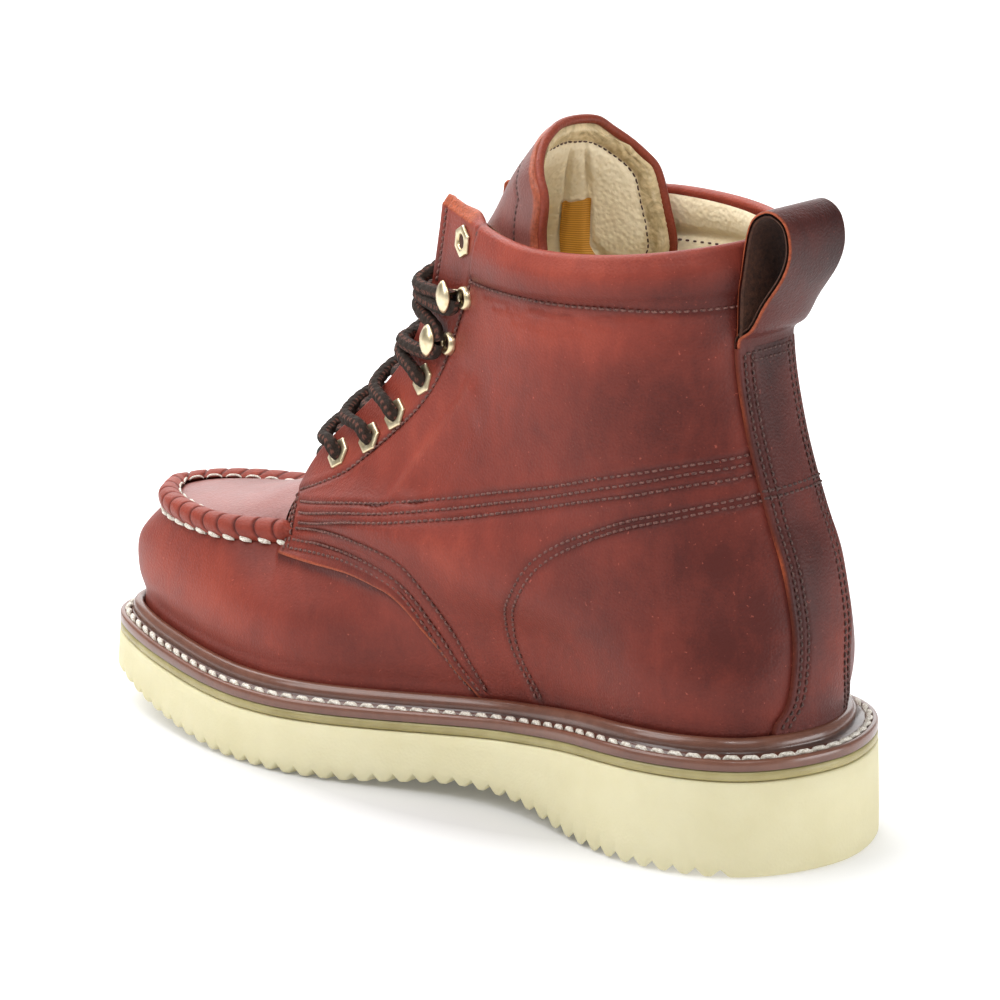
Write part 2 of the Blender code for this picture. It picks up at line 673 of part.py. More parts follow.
def build_backstay():
    rows, columns = np.linspace(BACKSTAY["at"][0], BACKSTAY["at"][-1], 14), np.linspace(-1, 1, 7)
    at, share = (a.ravel() for a in np.meshgrid(rows, columns, indexing="ij"))
    half = smooth(BACKSTAY["at"], BACKSTAY["half"], at)
    u = on_back(at, half * share)
    base, normal = shell(u, at), shell_normal(u, at)
    lift = GAP + 0.1
    near, far = base + normal * lift, base + normal * (lift + BACKSTAY_THICK)
    rings = []
    for k in range(len(rows)):
        row = slice(k * len(columns), (k + 1) * len(columns))
        rings.append(np.vstack([near[row], far[row][::-1]]))
    return add_solid("backstay", np.vstack(rings), tube_faces(len(rows), 2 * len(columns)), "oxblood_leather")


def build_pull_loop():
    line = path(LOOP_PATH, 30)
    along = np.gradient(line, axis=0)
    along /= np.linalg.norm(along, axis=1)[:, None]
    aside = np.column_stack([-along[:, 1], along[:, 0]]) * LOOP_THICK / 2
    points = []
    for spot, off in zip(line, aside):
        points += [(*(spot + off)[:1], -LOOP_HALF, (spot + off)[1]), (*(spot + off)[:1], LOOP_HALF, (spot + off)[1])]
        points += [(*(spot - off)[:1], LOOP_HALF, (spot - off)[1]), (*(spot - off)[:1], -LOOP_HALF, (spot - off)[1])]
    return add_solid("pull_loop", points, tube_faces(len(line), 4), "oxblood_leather")


def tucked_row(share, span, w):
    """The tongue's outer face under the toe plug."""
    u = np.full(len(w), THROAT + (1 - THROAT) * share)
    point = plug_point(u, 0.5 - span * w)
    point[:, 2] -= WALL + TONGUE_CLEAR + 3.0
    return point


def laced_row(at, flank, w):
    """The tongue's outer face at one place up the wall: under the quarters, and bridging between them."""
    at = np.full(len(w), float(at))
    length = np.linalg.norm(np.diff(shell(np.linspace(0, THROAT, 80), at[:1].repeat(80)), axis=0), axis=1).sum()
    behind = np.clip((np.abs(w) - TONGUE_BRIDGE) / (1 - TONGUE_BRIDGE), 0, 1) * flank / length
    u = np.where(w >= 0, 1, -1) * THROAT * (1 - behind)
    flanks = shell(u, at) - shell_normal(u * 0.998, at) * (WALL + TONGUE_CLEAR)
    ends = np.array([-THROAT, THROAT])
    left, right = shell(ends, at[:2]) - shell_normal(ends * 0.998, at[:2]) * (WALL + TONGUE_CLEAR)
    share = np.clip(w / TONGUE_BRIDGE, -1, 1)[:, None]
    up_wall = shell(ends[1:], at[:1] + 1) - shell(ends[1:], at[:1] - 1)
    crown = np.array([up_wall[0, 2], 0, -up_wall[0, 0]])
    crown *= TONGUE_CROWN / np.linalg.norm(crown)
    bridge = left + (right - left) * (share + 1) / 2 + crown * (1 - share ** 2)
    return np.where(np.abs(w[:, None]) > TONGUE_BRIDGE, flanks, bridge)


def free_row(row, w):
    """The tongue's outer face above the cuff: a half oval open to the back."""
    turn = w * math.radians(80)
    across = row["half"] * np.sin(turn) / math.sin(math.radians(80))
    back = row["depth"] * (1 - np.cos(turn)) / (1 - math.cos(math.radians(80)))
    return np.column_stack([row["along"] - back, across, row["up"] - row["drop"] * w ** 2])


def rows_of(columns):
    return [dict(zip(columns, values)) for values in zip(*columns.values())]


def tongue_face(count, w):
    """Even rows of the tongue's outer face, and the thickness of each row."""
    sections = [tucked_row(r["share"], r["span"], w) for r in rows_of(TONGUE_TUCKED)]
    sections += [laced_row(r["at"], r["flank"], w) for r in rows_of(TONGUE_LACED)]
    sections += [free_row(r, w) for r in rows_of(TONGUE_FREE)]
    thick = np.concatenate([TONGUE_TUCKED["thick"], TONGUE_LACED["thick"], TONGUE_FREE["thick"]])
    sections = np.array(sections)
    centre = sections[:, len(w) // 2]
    knots = np.concatenate([[0], np.cumsum(np.linalg.norm(np.diff(centre, axis=0), axis=1))])
    even = np.linspace(0, knots[-1], count)
    face = np.array([between(knots, sections, np.full(len(w), at)) for at in even])
    return face, smooth(knots, thick, even)


def face_normals(face):
    """Outward normals of a grid of points on the front of the tongue."""
    normal = np.cross(np.gradient(face, axis=0), np.gradient(face, axis=1))
    normal /= np.linalg.norm(normal, axis=2)[:, :, None]
    return normal * np.sign(normal[len(face) // 2, face.shape[1] // 2, 0])


def build_tongue():
    w = np.linspace(-1, 1, 11)
    face, thick = tongue_face(19, w)
    normal = face_normals(face)
    depth = thick[:, None] * (1 - 0.55 * np.abs(w) ** 6)
    inner = face - normal * depth[:, :, None]
    rings = np.concatenate([face, inner[:, ::-1]], axis=1)
    return add_solid("tongue", rings.reshape(-1, 3), tube_faces(len(face), 2 * len(w)), "oxblood_leather")


def seat(spot):
    """Centre, outward normal and direction toward the lacing edge at a place on the quarter."""
    u, at = nearest_on_shell(np.array(spot))
    u, at = np.array([u]), np.array([at])
    centre, normal = shell(u, at)[0], shell_normal(u, at)[0]
    forward = (shell(u + 1e-3 * np.sign(u), at) - shell(u, at))[0]
    forward /= np.linalg.norm(forward)
    return centre, normal, forward, at[0]


def build_eyelet(name, spot):
    centre, normal, forward, _ = seat(spot)
    upward = np.cross(normal, forward)
    sides = 12
    rings = ((None, GAP), (None, 0.8), (EYELET_HOLE, 1.2), (EYELET_HOLE, GAP))
    points = []
    for radius, lift in rings:
        for k in range(sides):
            angle = 2 * math.pi * k / sides
            flange = EYELET_FLANGE * (1.0 if k % 2 == 0 else math.cos(math.pi / 6))
            r = flange if radius is None else radius
            lifted = lift + (0.15 if radius is None and lift == GAP else 0.0)
            points.append(centre + forward * r * math.cos(angle) + upward * r * math.sin(angle)
                          + normal * (lifted + 0.3))
    faces = tube_faces(len(rings), sides, cap=False)
    last = (len(rings) - 1) * sides
    for k in range(sides):
        n = (k + 1) % sides
        faces.append((last + k, last + n, n, k))
    return add_solid(name, points, faces, "brass")


HOOK_SHAPE = (
    (-5.2, 0.9, 2.0), (-4.6, 0.9, 3.2), (-2.0, 0.9, 3.9), (1.2, 0.9, 3.2), (3.2, 1.1, 2.4), (4.8, 1.9, 2.3),
    (5.5, 3.4, 2.4), (5.2, 5.0, 2.7), (3.8, 6.2, 3.0), (1.9, 6.6, 2.6), (0.9, 6.7, 1.6),
)
HOOK_THICK = 0.9


def build_hook(name, spot):
    """Speed hook: a riveted base that curls up at the lacing edge, wider at its head."""
    centre, normal, forward, _ = seat(spot)
    upward = np.cross(normal, forward)
    shape = np.array(HOOK_SHAPE)
    heading = np.gradient(shape[:, :2], axis=0)
    heading /= np.linalg.norm(heading, axis=1)[:, None]
    aside = np.column_stack([-heading[:, 1], heading[:, 0]]) * HOOK_THICK / 2
    points = []
    for (ahead, lift, half), (da, dl) in zip(shape, aside):
        for sign, edge in ((1, -1), (1, 1), (-1, 1), (-1, -1)):
            points.append(centre + forward * (ahead + sign * da) + normal * (lift + sign * dl)
                          + upward * half * edge)
    return add_solid(name, points, tube_faces(len(shape), 4), "brass")


def tube(line, radius, sides=6):
    """Points and faces of a round cord along a line."""
    heading = np.gradient(line, axis=0)
    heading /= np.linalg.norm(heading, axis=1)[:, None]
    points = []
    for spot, ahead in zip(line, heading):
        first = np.cross(ahead, (0.0, 0.0, 1.0))
        first /= np.linalg.norm(first)
        second = np.cross(first, ahead)
        for k in range(sides):
            angle = 2 * math.pi * k / sides
            points.append(spot + radius * (first * math.cos(angle) + second * math.sin(angle)))
    return points, tube_faces(len(line), sides)


def lace_line(start, end, from_hook):
    """Cord from one side's eyelet over the lacing edge and the tongue, toward the other side."""
    centre, normal, _, low = seat(start)
    high = seat(end)[3]
    hand = math.copysign(1, start[1])
    place = low + (high - low) * np.array([0.12, 0.22, 0.5, 0.68])
    edge_u = hand * THROAT * np.array([0.975, 1.0])
    brink = shell(edge_u, place[:2])
    out = shell_normal(edge_u * 0.998, place[:2])
    over = (brink[1] - brink[0]) / np.linalg.norm(brink[1] - brink[0])
    spots = []
    if not from_hook:
        spots.append(centre + normal * (LACE_RADIUS + 2.1))
        spots.append(brink[0] + out[0] * (LACE_RADIUS + 1.6))
    spots.append(brink[1] + out[1] * (LACE_RADIUS + LACE_CLEAR) + over * (2.6 if from_hook else 0.8))
    for at, across in zip(place[2:], (0.0, -8.5 * hand)):
        bridge = laced_row(at, 20.0, np.array([-0.05, 0.0, 0.05]))[1]
        ahead = laced_row(at + 1, 20.0, np.array([-0.05, 0.0, 0.05]))[1] - bridge
        out_here = np.array([ahead[2], 0, -ahead[0]]) / np.linalg.norm(ahead)
        lift = LACE_RADIUS + (-0.1 if from_hook else 1.2 if across == 0 else 0.8)
        spots.append(bridge + out_here * lift + (0, across, 0))
    return path(spots, 8)


def mirrored(spot):
    return (spot[0], -spot[1], spot[2])


def build_lace_end(name, hook, eyelet):
    """A free end of the lace: from the upper hook over the lacing edge, up the tongue to the top eyelet."""
    hand = math.copysign(1, hook[1])
    at = np.array([seat(hook)[3] + 2.0])
    edge_u = np.array([hand * THROAT])
    brink = shell(edge_u, at)[0] + shell_normal(edge_u * 0.998, at)[0] * (LACE_RADIUS + LACE_CLEAR)
    toward = shell(edge_u, at)[0] - shell(edge_u * 0.98, at)[0]
    brink += toward / np.linalg.norm(toward) * 2.6
    w = np.array([hand * LACE_END_W - 0.05, hand * LACE_END_W, hand * LACE_END_W + 0.05])
    face, _ = tongue_face(60, w)
    lifted = (face + face_normals(face) * (LACE_RADIUS + LACE_CLEAR))[:, 1]
    rows = (lifted[:, 2] > brink[2] + 5) & (lifted[:, 2] < eyelet[2])
    points, faces = tube(path(np.vstack([brink, lifted[rows][::2]]), 8), LACE_RADIUS)
    return add_solid(name, points, faces, "lace_cord")


def build_crossing(name, start, end, from_hook):
    """Two cords that cross over the tongue, joined into one solid."""
    pair = []
    for turn in (lambda p: p, mirrored):
        points, faces = tube(lace_line(turn(start), turn(end), from_hook), LACE_RADIUS)
        pair.append(add_solid(name if not pair else name + "_second", points, faces, "lace_cord"))
    first, second = pair
    BOOT.objects.unlink(second)
    CUTTERS.objects.link(second)
    second.hide_render = True
    second.display_type = "WIRE"
    join = first.modifiers.new("join", "BOOLEAN")
    join.operation = "UNION"
    join.solver = "EXACT"
    join.object = second
    return first


def clear_scene():
    for old in list(bpy.data.objects):
        bpy.data.objects.remove(old, do_unlink=True)


clear_scene()
BOOT = bpy.data.collections.new("moc_toe_work_boot")
CUTTERS = bpy.data.collections.new("joined_into_parts")
bpy.context.scene.collection.children.link(BOOT)
bpy.context.scene.collection.children.link(CUTTERS)

build_outsole()
build_midsole()
build_insole()
build_welt()
build_upper()
build_backstay()
build_pull_loop()
build_tongue()

eyelet_spots = list(zip(*EYELETS.values()))
hook_spots = list(zip(*HOOKS.values()))
for side_name, turn_over in (("inner", lambda p: p), ("outer", mirrored)):
    for number, place in enumerate(eyelet_spots, 1):
        build_eyelet(f"eyelet_{side_name}_{number}", turn_over(place))
    for number, place in enumerate(hook_spots, 1):
        build_hook(f"hook_{side_name}_{number}", turn_over(place))

laced = eyelet_spots[:4] + hook_spots
for number in range(len(laced) - 1):
    build_crossing(f"lace_crossing_{number + 1}", laced[number], laced[number + 1], number >= 4)
for side_name, turn_over in (("inner", lambda p: p), ("outer", mirrored)):
    build_lace_end(f"lace_end_{side_name}", turn_over(hook_spots[-1]), turn_over(eyelet_spots[-1]))
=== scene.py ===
"""Looks of the moc toe work boot: leather, lining, stitches, lace, metal, sole, camera and light.

The shapes come from the same named sections as the solids: u runs round the foot (0 at the heel's back,
0.62 at the lacing edge, 1 at the toe; positive on the inner side) and at runs up the wall in millimetres.
Points are along, across, up in millimetres until world() turns them into the part's frame in metres.
"""
import math

import bmesh
import bpy
import numpy as np
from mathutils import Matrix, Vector

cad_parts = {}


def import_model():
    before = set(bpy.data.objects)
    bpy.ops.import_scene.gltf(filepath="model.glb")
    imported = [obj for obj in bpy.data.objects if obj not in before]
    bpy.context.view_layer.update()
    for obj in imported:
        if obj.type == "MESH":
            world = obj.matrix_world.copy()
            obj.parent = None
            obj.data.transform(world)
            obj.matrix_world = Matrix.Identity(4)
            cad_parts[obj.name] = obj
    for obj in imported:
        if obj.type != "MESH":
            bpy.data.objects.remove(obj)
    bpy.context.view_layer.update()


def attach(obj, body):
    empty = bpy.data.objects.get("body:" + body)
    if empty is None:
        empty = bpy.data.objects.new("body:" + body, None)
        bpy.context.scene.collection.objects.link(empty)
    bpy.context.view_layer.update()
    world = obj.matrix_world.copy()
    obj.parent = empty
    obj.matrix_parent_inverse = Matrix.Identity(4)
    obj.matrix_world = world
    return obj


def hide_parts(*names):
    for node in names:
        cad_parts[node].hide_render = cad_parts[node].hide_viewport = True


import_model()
MM = 0.001


def table(names, *rows):
    """Named columns of a short table, a row for each section."""
    return dict(zip(names.split(), np.array(rows, float).T))


# Driving dimensions
BOOT_LENGTH = 300.0
TOE_ACROSS = 6.5
GAP = 0.3
WALL = 2.6
MIDSOLE_THICK = 3.2
SOLE_FLARE = 1.0
RIB_PITCH = 7.0
RIB_DEPTH = 2.1
RIB_FLAT = 2.2
INSOLE_THICK = 4.0
RIDGE_RISE = 4.2
WING_STEP = 1.1
BACKSTAY_THICK = 1.8
LOOP_HALF = 14.0
LOOP_THICK = 2.0
LOOP_LEVEL = 134.0
LACE_RADIUS = 2.2
LACE_CLEAR = 0.8
LACE_END_W = 0.24

# Plan of the sole at the welt: half widths on the inner and outer side
SOLE_PLAN = table(
    "along inner outer",
    (8, 27.0, 27.0),
    (22, 40.0, 40.0),
    (50, 46.5, 46.5),
    (115, 33.6, 43.0),
    (200, 52.4, 58.0),
    (258, 41.6, 46.9),
    (294, 24.0, 20.2),
)
# Heights: top of the midsole, bottom of the outsole, and how far the welt stands out
SOLE_SIDE = table(
    "along top bottom reach",
    (0, 34.0, 0.0, 11.5),
    (50, 33.5, 0.0, 10.0),
    (70, 32.0, 0.0, 9.6),
    (110, 26.5, 4.4, 9.5),
    (125, 25.0, 4.8, 9.5),
    (170, 22.3, 0.6, 9.5),
    (185, 21.9, 0.0, 9.5),
    (212, 21.6, 0.0, 9.5),
    (260, 24.1, 4.75, 9.3),
    (300, 27.3, 11.3, 9.0),
)
# Lower rails of the upper: rise above the midsole and bulge beyond the feather edge
WALL_RAILS = table(
    "along rise_a bulge_a rise_b bulge_in_b bulge_out_b rise_c bulge_in_c bulge_out_c",
    (0, 9, 0.4, 16, 1.0, 2.2, 25, 1.2, 2.8),
    (30, 9, 0.5, 16, 0.8, 4.0, 25, 0.8, 5.4),
    (60, 9, 0.3, 16.5, 1.4, 3.2, 26, 2.0, 4.6),
    (115, 9, 0.5, 19, 2.6, 1.8, 31, 5.6, 3.0),
    (205, 9, 0.5, 19, 1.8, 1.6, 31, 0.0, -1.0),
    (260, 9, 0.6, 19, 3.2, 3.0, 32, 2.4, 1.6),
    (300, 9, 0.6, 19, 3.2, 3.2, 31, 2.6, 2.6),
)
# Moc seam in plan on both sides, from the throat to the toe
SEAM_INNER = ((213.5, 26.5), (233, 31.3), (259, 26.6), (275, 17.6), (283.5, 5.0))
SEAM_OUTER = ((213.5, -27.0), (233, -29.5), (250, -26.0), (269, -17.5), (279.5, -7.0), (283.5, 5.0))
SEAM_UP = table("share up", (0, 73.0), (0.4, 72.0), (1, 72.5))
# The plug between the seams: crown above the seam and how far it bows to the toe
PLUG = table(
    "share crown bow",
    (0, 12.5, 6.0), (0.25, 8.0, 4.5), (0.5, 4.5, 2.5), (0.8, 2.2, 0.6), (1, 0.0, 0.0),
)
PLUG_EDGE = 0.15
# Upper rails: ovals in plan from the back of the heel to the lacing edge
OVALS = table(
    "up_back up_front dip_in dip_out back middle half_in half_out front edge slope",
    (74, 73.0, 0, 0, 12.2, 72, 37.0, 42.0, 213.5, 26.5, -0.35),
    (88, 81.5, 0, 0, 15.0, 76, 36.2, 41.0, 216.5, 18.5, -0.75),
    (108, 98.5, 0, 0, 22.2, 84, 34.8, 37.6, 209.0, 14.5, -0.45),
    (135, 134.5, 0, 0, 31.4, 90, 35.0, 36.6, 173.0, 13.5, -0.34),
    (155, 155.0, 0, 0, 35.6, 91, 36.0, 36.5, 162.0, 14.0, -0.34),
    (174, 168.0, 1, 1, 36.6, 92, 36.8, 37.3, 157.0, 15.0, -0.36),
    (184, 181.0, 4, -2, 36.2, 92, 38.8, 39.2, 154.0, 15.8, -0.40),
    (192.5, 193.5, 6, -4, 37.6, 92, 37.4, 38.0, 152.0, 16.0, -0.40),
)
OVAL_BOW = 2.5
HEEL_SHIFT = -2.8
# Place of each rail on the way up the wall
RAIL_AT = np.array([0, 9, 20, 32, 48, 60, 82, 112, 132, 150, 160, 171], float)
SEAM_AT = 48.0
PLUG_AT = 60.0
TOP_AT = 171.0
THROAT = 0.62
THROAT_ALONG = 208.0
WING_FRONT = 214.5
# A place inside the boot, one under the plug and its depth, by which outward is told
INSIDE = (110.0, 0.0)
PLUG_HEART = (232, 1.0)
PLUG_DEEP = 34.0
# Wall thickness on the way up: the cuff is padded
THICKNESS = table("at thick", (0, WALL), (148, WALL), (160, 5.0), (168, 4.2), (171, 2.6))
# Lower edge of the wing, where the quarter is laid over the vamp
WING = table("along up", (126, 30.0), (138, 48.5), (152, 60.0), (178, 65.5), (207, 66.6), (213.5, 66.0))
# Half width of the backstay
BACKSTAY = table("at half", (8.8, 19.0), (22, 15.5), (40, 14.0), (134, 14.0))
# Its stitches: insets of the rows up it, and heights and half widths of the rows across it
BACKSTAY_ROWS = (2.4, 5.0)
BACKSTAY_BARS = ((90.8, 14.0), (88.4, 14.0), (134.4, 11.4), (132.0, 8.9))
# Finger loop behind the cuff, side view
LOOP_PATH = (
    (33.6, 159.6), (30.2, 166.0), (25.6, 174.0), (20.0, 184.5), (18.2, 192.5), (20.2, 199.6),
    (25.6, 202.4), (31.0, 199.8), (33.8, 192.0), (34.2, 181.0), (34.2, 170.0), (34.3, 163.0),
)
# Tongue: below the cuff it lies under the quarters, its flanks reaching back behind the lacing edge
TONGUE_LACED = table(
    "at flank thick",
    (70, 12, 2.4),
    (82, 17, 2.6),
    (97, 21, 2.8),
    (112, 25, 3.2),
    (128, 31, 4.0),
    (140, 36, 4.6),
)
# Above the cuff it leans back as a deep half oval: centre, half width, depth and drop of the oval
TONGUE_FREE = table(
    "along up half depth drop thick",
    (138.5, 188.0, 28.5, 35, 0, 5.4),
    (127.5, 204.0, 30.5, 28, 3, 5.4),
    (117.5, 215.5, 28.5, 17, 9, 5.0),
    (114.5, 219.4, 24, 11, 9, 4.4),
    (113, 220.8, 17, 6, 5, 3.0),
)
TONGUE_TUCKED = table("share span thick", (0.11, 0.20, 1.4), (0.02, 0.26, 1.8))
TONGUE_CLEAR = 0.5
TONGUE_BRIDGE = 0.4
TONGUE_CROWN = 1.6
TONGUE_SINK = 3.0
TONGUE_TURN = math.radians(80)
# Eyelets and hooks on the inner side; the outer side mirrors them
EYELETS = table(
    "along across up",
    (195.2, 19.0, 101.4),
    (179.8, 20.6, 109.4),
    (168.8, 20.3, 119.1),
    (157.3, 19.6, 132.4),
    (136.7, 23.7, 181.2),
)
HOOKS = table("along across up", (147.6, 20.6, 146.7), (138.6, 22.8, 163.1))
# Rows of stitches on the quarters, as places (u round the foot, at up the wall) on the inner side
U_SCALE = 400.0
FACING_ROW = (
    (0.612, 66.0), (0.572, 73.3), (0.546, 80.5), (0.532, 90.5), (0.522, 101.8), (0.525, 114.5),
    (0.522, 128.2), (0.512, 144.6), (0.506, 151.0), (0.499, 161.0), (0.497, 168.0),
)
CUFF_ROW = ((0.506, 150.6), (0.40, 150.2), (0.25, 149.2), (0.12, 148.4), (0.045, 148.2))
BRINK_ROW = ((0.606, 146.0), (0.605, 156.0), (0.604, 168.0))
BAND_ROWS = (
    ((0.598, 62.4), (0.507, 69.7), (0.444, 74.3), (0.356, 81.7), (0.254, 89.9), (0.187, 95.7),
     (0.112, 100.6), (0.032, 104.2)),
    ((0.595, 57.8), (0.498, 66.1), (0.435, 70.7), (0.352, 78.0), (0.251, 86.6), (0.184, 92.4),
     (0.112, 97.7), (0.032, 101.2)),
    ((0.595, 52.9), (0.493, 62.7), (0.429, 67.3), (0.346, 74.3), (0.250, 83.2), (0.181, 88.7),
     (0.111, 93.9), (0.032, 97.4)),
)
WING_ROWS = (
    ((0.600, 50.2), (0.560, 53.6), (0.524, 55.2), (0.489, 55.1), (0.458, 53.2), (0.440, 49.6),
     (0.425, 41.0), (0.413, 32.4), (0.399, 22.8), (0.382, 10.0)),
    ((0.603, 47.0), (0.554, 48.6), (0.507, 48.3), (0.477, 46.6), (0.456, 43.9), (0.444, 40.0),
     (0.433, 33.4), (0.417, 25.0), (0.402, 16.6), (0.389, 9.6)),
    ((0.604, 44.8), (0.562, 45.9), (0.507, 45.6), (0.478, 43.9), (0.459, 41.2), (0.448, 36.6),
     (0.437, 30.0), (0.421, 22.0), (0.406, 13.6), (0.397, 9.4)),
)
FRONT_ROWS = (
    ((0.616, 65.0), (0.613, 56.0), (0.613, 48.6), (0.612, 44.0)),
    ((0.609, 64.0), (0.607, 56.0), (0.607, 48.6), (0.606, 44.4)),
)
COUNTER_ROWS = (
    ((0.032, 90.6), (0.093, 87.5), (0.132, 84.4), (0.173, 80.5), (0.208, 75.6), (0.241, 69.7),
     (0.268, 63.3), (0.293, 56.0), (0.316, 48.0), (0.335, 40.1), (0.345, 31.8), (0.342, 25.1),
     (0.332, 17.2), (0.323, 9.4)),
    ((0.032, 88.3), (0.094, 85.3), (0.132, 82.2), (0.173, 78.1), (0.205, 73.5), (0.234, 68.0),
     (0.262, 61.6), (0.288, 54.6), (0.309, 47.4), (0.327, 39.5), (0.337, 31.2), (0.334, 24.5),
     (0.325, 16.8), (0.316, 9.2)),
)
# Lower edge of the wing on the quarter
WING_EDGE = table(
    "u at",
    (0.366, 0.6), (0.384, 5.0), (0.405, 13.6), (0.423, 22.0), (0.444, 30.6), (0.456, 36.0),
    (0.468, 39.2), (0.489, 41.3), (0.51, 42.4), (0.537, 42.8), (0.62, 42.8),
)
LEATHER_TONE = 0.34
# Broad patches of lighter and darker leather, the leather's own mottling together with painted shade (as
# beside the loop) and painted sheen: centre, reach and strength
SHADE_AND_MOTTLE_PATCHES = table(
    "u at reach_u reach_at gain",
    (0.06, 150, 0.06, 22, -0.20),
    (0.14, 157, 0.08, 8, -0.12),
    (0.15, 128, 0.06, 14, -0.12),
    (0.11, 106, 0.07, 24, -0.20),
    (0.15, 82, 0.06, 10, -0.10),
    (0.20, 112, 0.08, 18, -0.08),
    (0.47, 118, 0.07, 34, 0.06),
    (0.57, 104, 0.04, 36, 0.16),
    (0.30, 138, 0.14, 10, 0.22),
    (0.46, 94, 0.06, 16, 0.10),
    (0.40, 98, 0.05, 12, -0.06),
    (0.38, 58, 0.06, 16, 0.18),
    (0.07, 46, 0.07, 26, -0.26),
    (0.12, 72, 0.06, 14, -0.10),
    (0.22, 52, 0.07, 16, -0.14),
    (0.37, 24, 0.05, 16, 0.10),
    (0.58, 52, 0.05, 10, 0.12),
    (0.50, 16, 0.06, 12, -0.16),
    (0.53, 32, 0.06, 12, -0.10),
    (0.73, 30, 0.09, 14, 0.20),
    (0.66, 38, 0.04, 8, -0.10),
    (0.88, 30, 0.06, 14, 0.12),
)
# Creases pressed into the quarters: ends of each trough and its depth and half width
CREASES = table(
    "u_a at_a u_b at_b depth half",
    (0.46, 147.2, 0.16, 146.0, 0.75, 0.9),
    (0.40, 145.0, 0.33, 146.6, 0.60, 0.7),
    (0.31, 144.4, 0.22, 145.6, 0.60, 0.7),
    (0.43, 143.4, 0.22, 142.4, 0.55, 1.0),
    (0.38, 140.0, 0.26, 139.6, 0.40, 1.3),
    (0.478, 116.0, 0.472, 74.0, 1.25, 4.2),
    (0.447, 112.0, 0.454, 78.0, -1.10, 4.2),
    (0.415, 102.0, 0.427, 78.0, 0.90, 4.2),
    (0.142, 72.0, 0.150, 47.0, 0.22, 0.8),
)
# Cuff, facing and vamp, stitches of the moc seam, welt and quarters, and the lace's braid, flecks and radius
RIM_AT = 168.0
LINING_SEAM = 157.0
RIM_HALF = 2.1
CUFF_PUFF = 1.5
FACING_RAISE = 2.6
VAMP_TUCK = 5.2
SEAM_TUCK = 4.5
MOC_STITCHES = 25
MOC_HALF = 4.0
MOC_FOOT = 4.2
WELT_PITCH = 6.0
STITCH_PITCH = 2.45
STITCH_SHARE = 0.86
STITCH_RADIUS = 0.43
GROOVE_DEPTH = 0.42
GROOVE_HALF = 0.85
LACE_BRAID = 3.4
LACE_FLECK = 1.7
LACE_LOOK = 2.3
# Colour of raw cut leather
RAW = (0.40, 0.090, 0.036)
# Tongue: its channels' lean, the label's rows and sides, rows its edge is measured from, growth and edge
TONGUE_LEAN = 0.0118
LABEL_ROWS = (114, 146)
LABEL_FOOT = (-0.93, -0.79)
LABEL_TOP = (-0.60, -0.35)
TONGUE_HEART = 128
TONGUE_FOOT = 100
FLANK_GROWTH = 20.0
BINDING = 7.6
TONGUE_STITCH = 11.5
TONGUE_RIM = 1.5
TONGUE_ROUND = 30.0
TONGUE_CHANNELS = (-0.02, 0.17)
CHANNEL_HALF = 0.022
# Welt and bead as insets, rises and tones (the tones are painted highlights on the rounded tops and painted
# shade in the groove and at the bead's feet), places round the sole, and the stitches' inset and rise
WELT_SHAPE = table(
    "inset rise tone",
    (0, 0.2, 0.44), (-0.1, 1.4, 0.52), (0.0, 2.8, 0.60), (0.35, 3.4, 0.66), (1.0, 3.65, 0.62),
    (1.7, 3.5, 0.48), (2.2, 2.9, 0.34), (2.9, 2.65, 0.26), (3.6, 2.9, 0.32), (4.0, 3.5, 0.42),
    (4.5, 3.7, 0.34),
)
BEAD_SHAPE = table(
    "inset rise tone",
    (4.4, 3.8, 0.22), (4.5, 5.0, 0.40), (4.25, 6.4, 0.52), (3.5, 7.6, 0.58), (2.5, 8.2, 0.58),
    (1.5, 8.0, 0.54), (0.8, 7.2, 0.4), (0.4, 5.6, 0.3), (0.4, 0.4, 0.1),
)
ROUND_FOOT = np.concatenate([-np.linspace(1, 0, 380)[:-1], np.linspace(0, 1, 380)[:-1]])
WELT_STITCH = (2.9, 3.35)
# First rib of the tread, steps over one rib, and steps from the ends of the sole
RIB_START = 14.0
RIB_STEPS = np.array([0.25, 1.1, 1.95, 2.45, 3.1, 3.8, 4.3, 4.6, 4.9, 5.4, 6.1, 6.75])
END_STEPS = np.array([0.0, 0.05, 0.2, 0.5, 1.0, 1.6, 2.4, 3.4, 4.6, 6.0, 8.0, 10.5, 13.0])
# Eyelets and hooks as rings of radius, lift and how six-sided; the arm as ahead, lift and half width
EYELET_SHAPE = (
    (2.35, -1.4, 0), (2.35, 0.4, 0), (2.5, 0.8, 0), (2.85, 1.0, 0.1), (3.3, 1.02, 0.4),
    (4.8, 0.92, 1), (5.1, 0.78, 1), (5.25, 0.45, 1), (5.25, 0.05, 1),
)
HOOK_ARM = (
    (-3.0, 0.9, 2.4), (-0.5, 0.8, 2.3), (2.2, 0.9, 2.0), (4.2, 1.6, 1.7), (5.0, 3.2, 1.6),
    (4.7, 4.7, 1.8), (3.4, 5.8, 2.0),
)
HOOK_RIVET = (
    (2.1, 0.2, 0), (2.15, 1.3, 0), (2.4, 1.8, 0), (2.85, 2.0, 0), (3.35, 1.8, 0), (3.75, 1.2, 0),
    (3.8, 0.0, 0),
)
HOOK_HEAD = (
    (0.02, 7.3, 0), (1.8, 7.15, 0), (3.2, 6.7, 0), (4.2, 6.0, 0), (4.4, 5.5, 0), (4.0, 5.15, 0),
    (1.5, 5.0, 0), (0.02, 5.0, 0),
)
# Dark discs of painted shade in the open holes of the eyelets and rivets.
EYELET_HOLE_SHADE = ((2.5, 0.35, 0), (1.6, 0.32, 0), (0.02, 0.3, 0))
RIVET_HOLE_SHADE = ((2.2, 0.45, 0), (1.4, 0.42, 0), (0.02, 0.4, 0))
RIVET_BACK = 3.7
HEAD_AHEAD = 1.4
# Where the lace lies in a hook: its lift over the leather and its place behind the head
NECK_LIFT = 3.0
NECK_BACK = 1.6
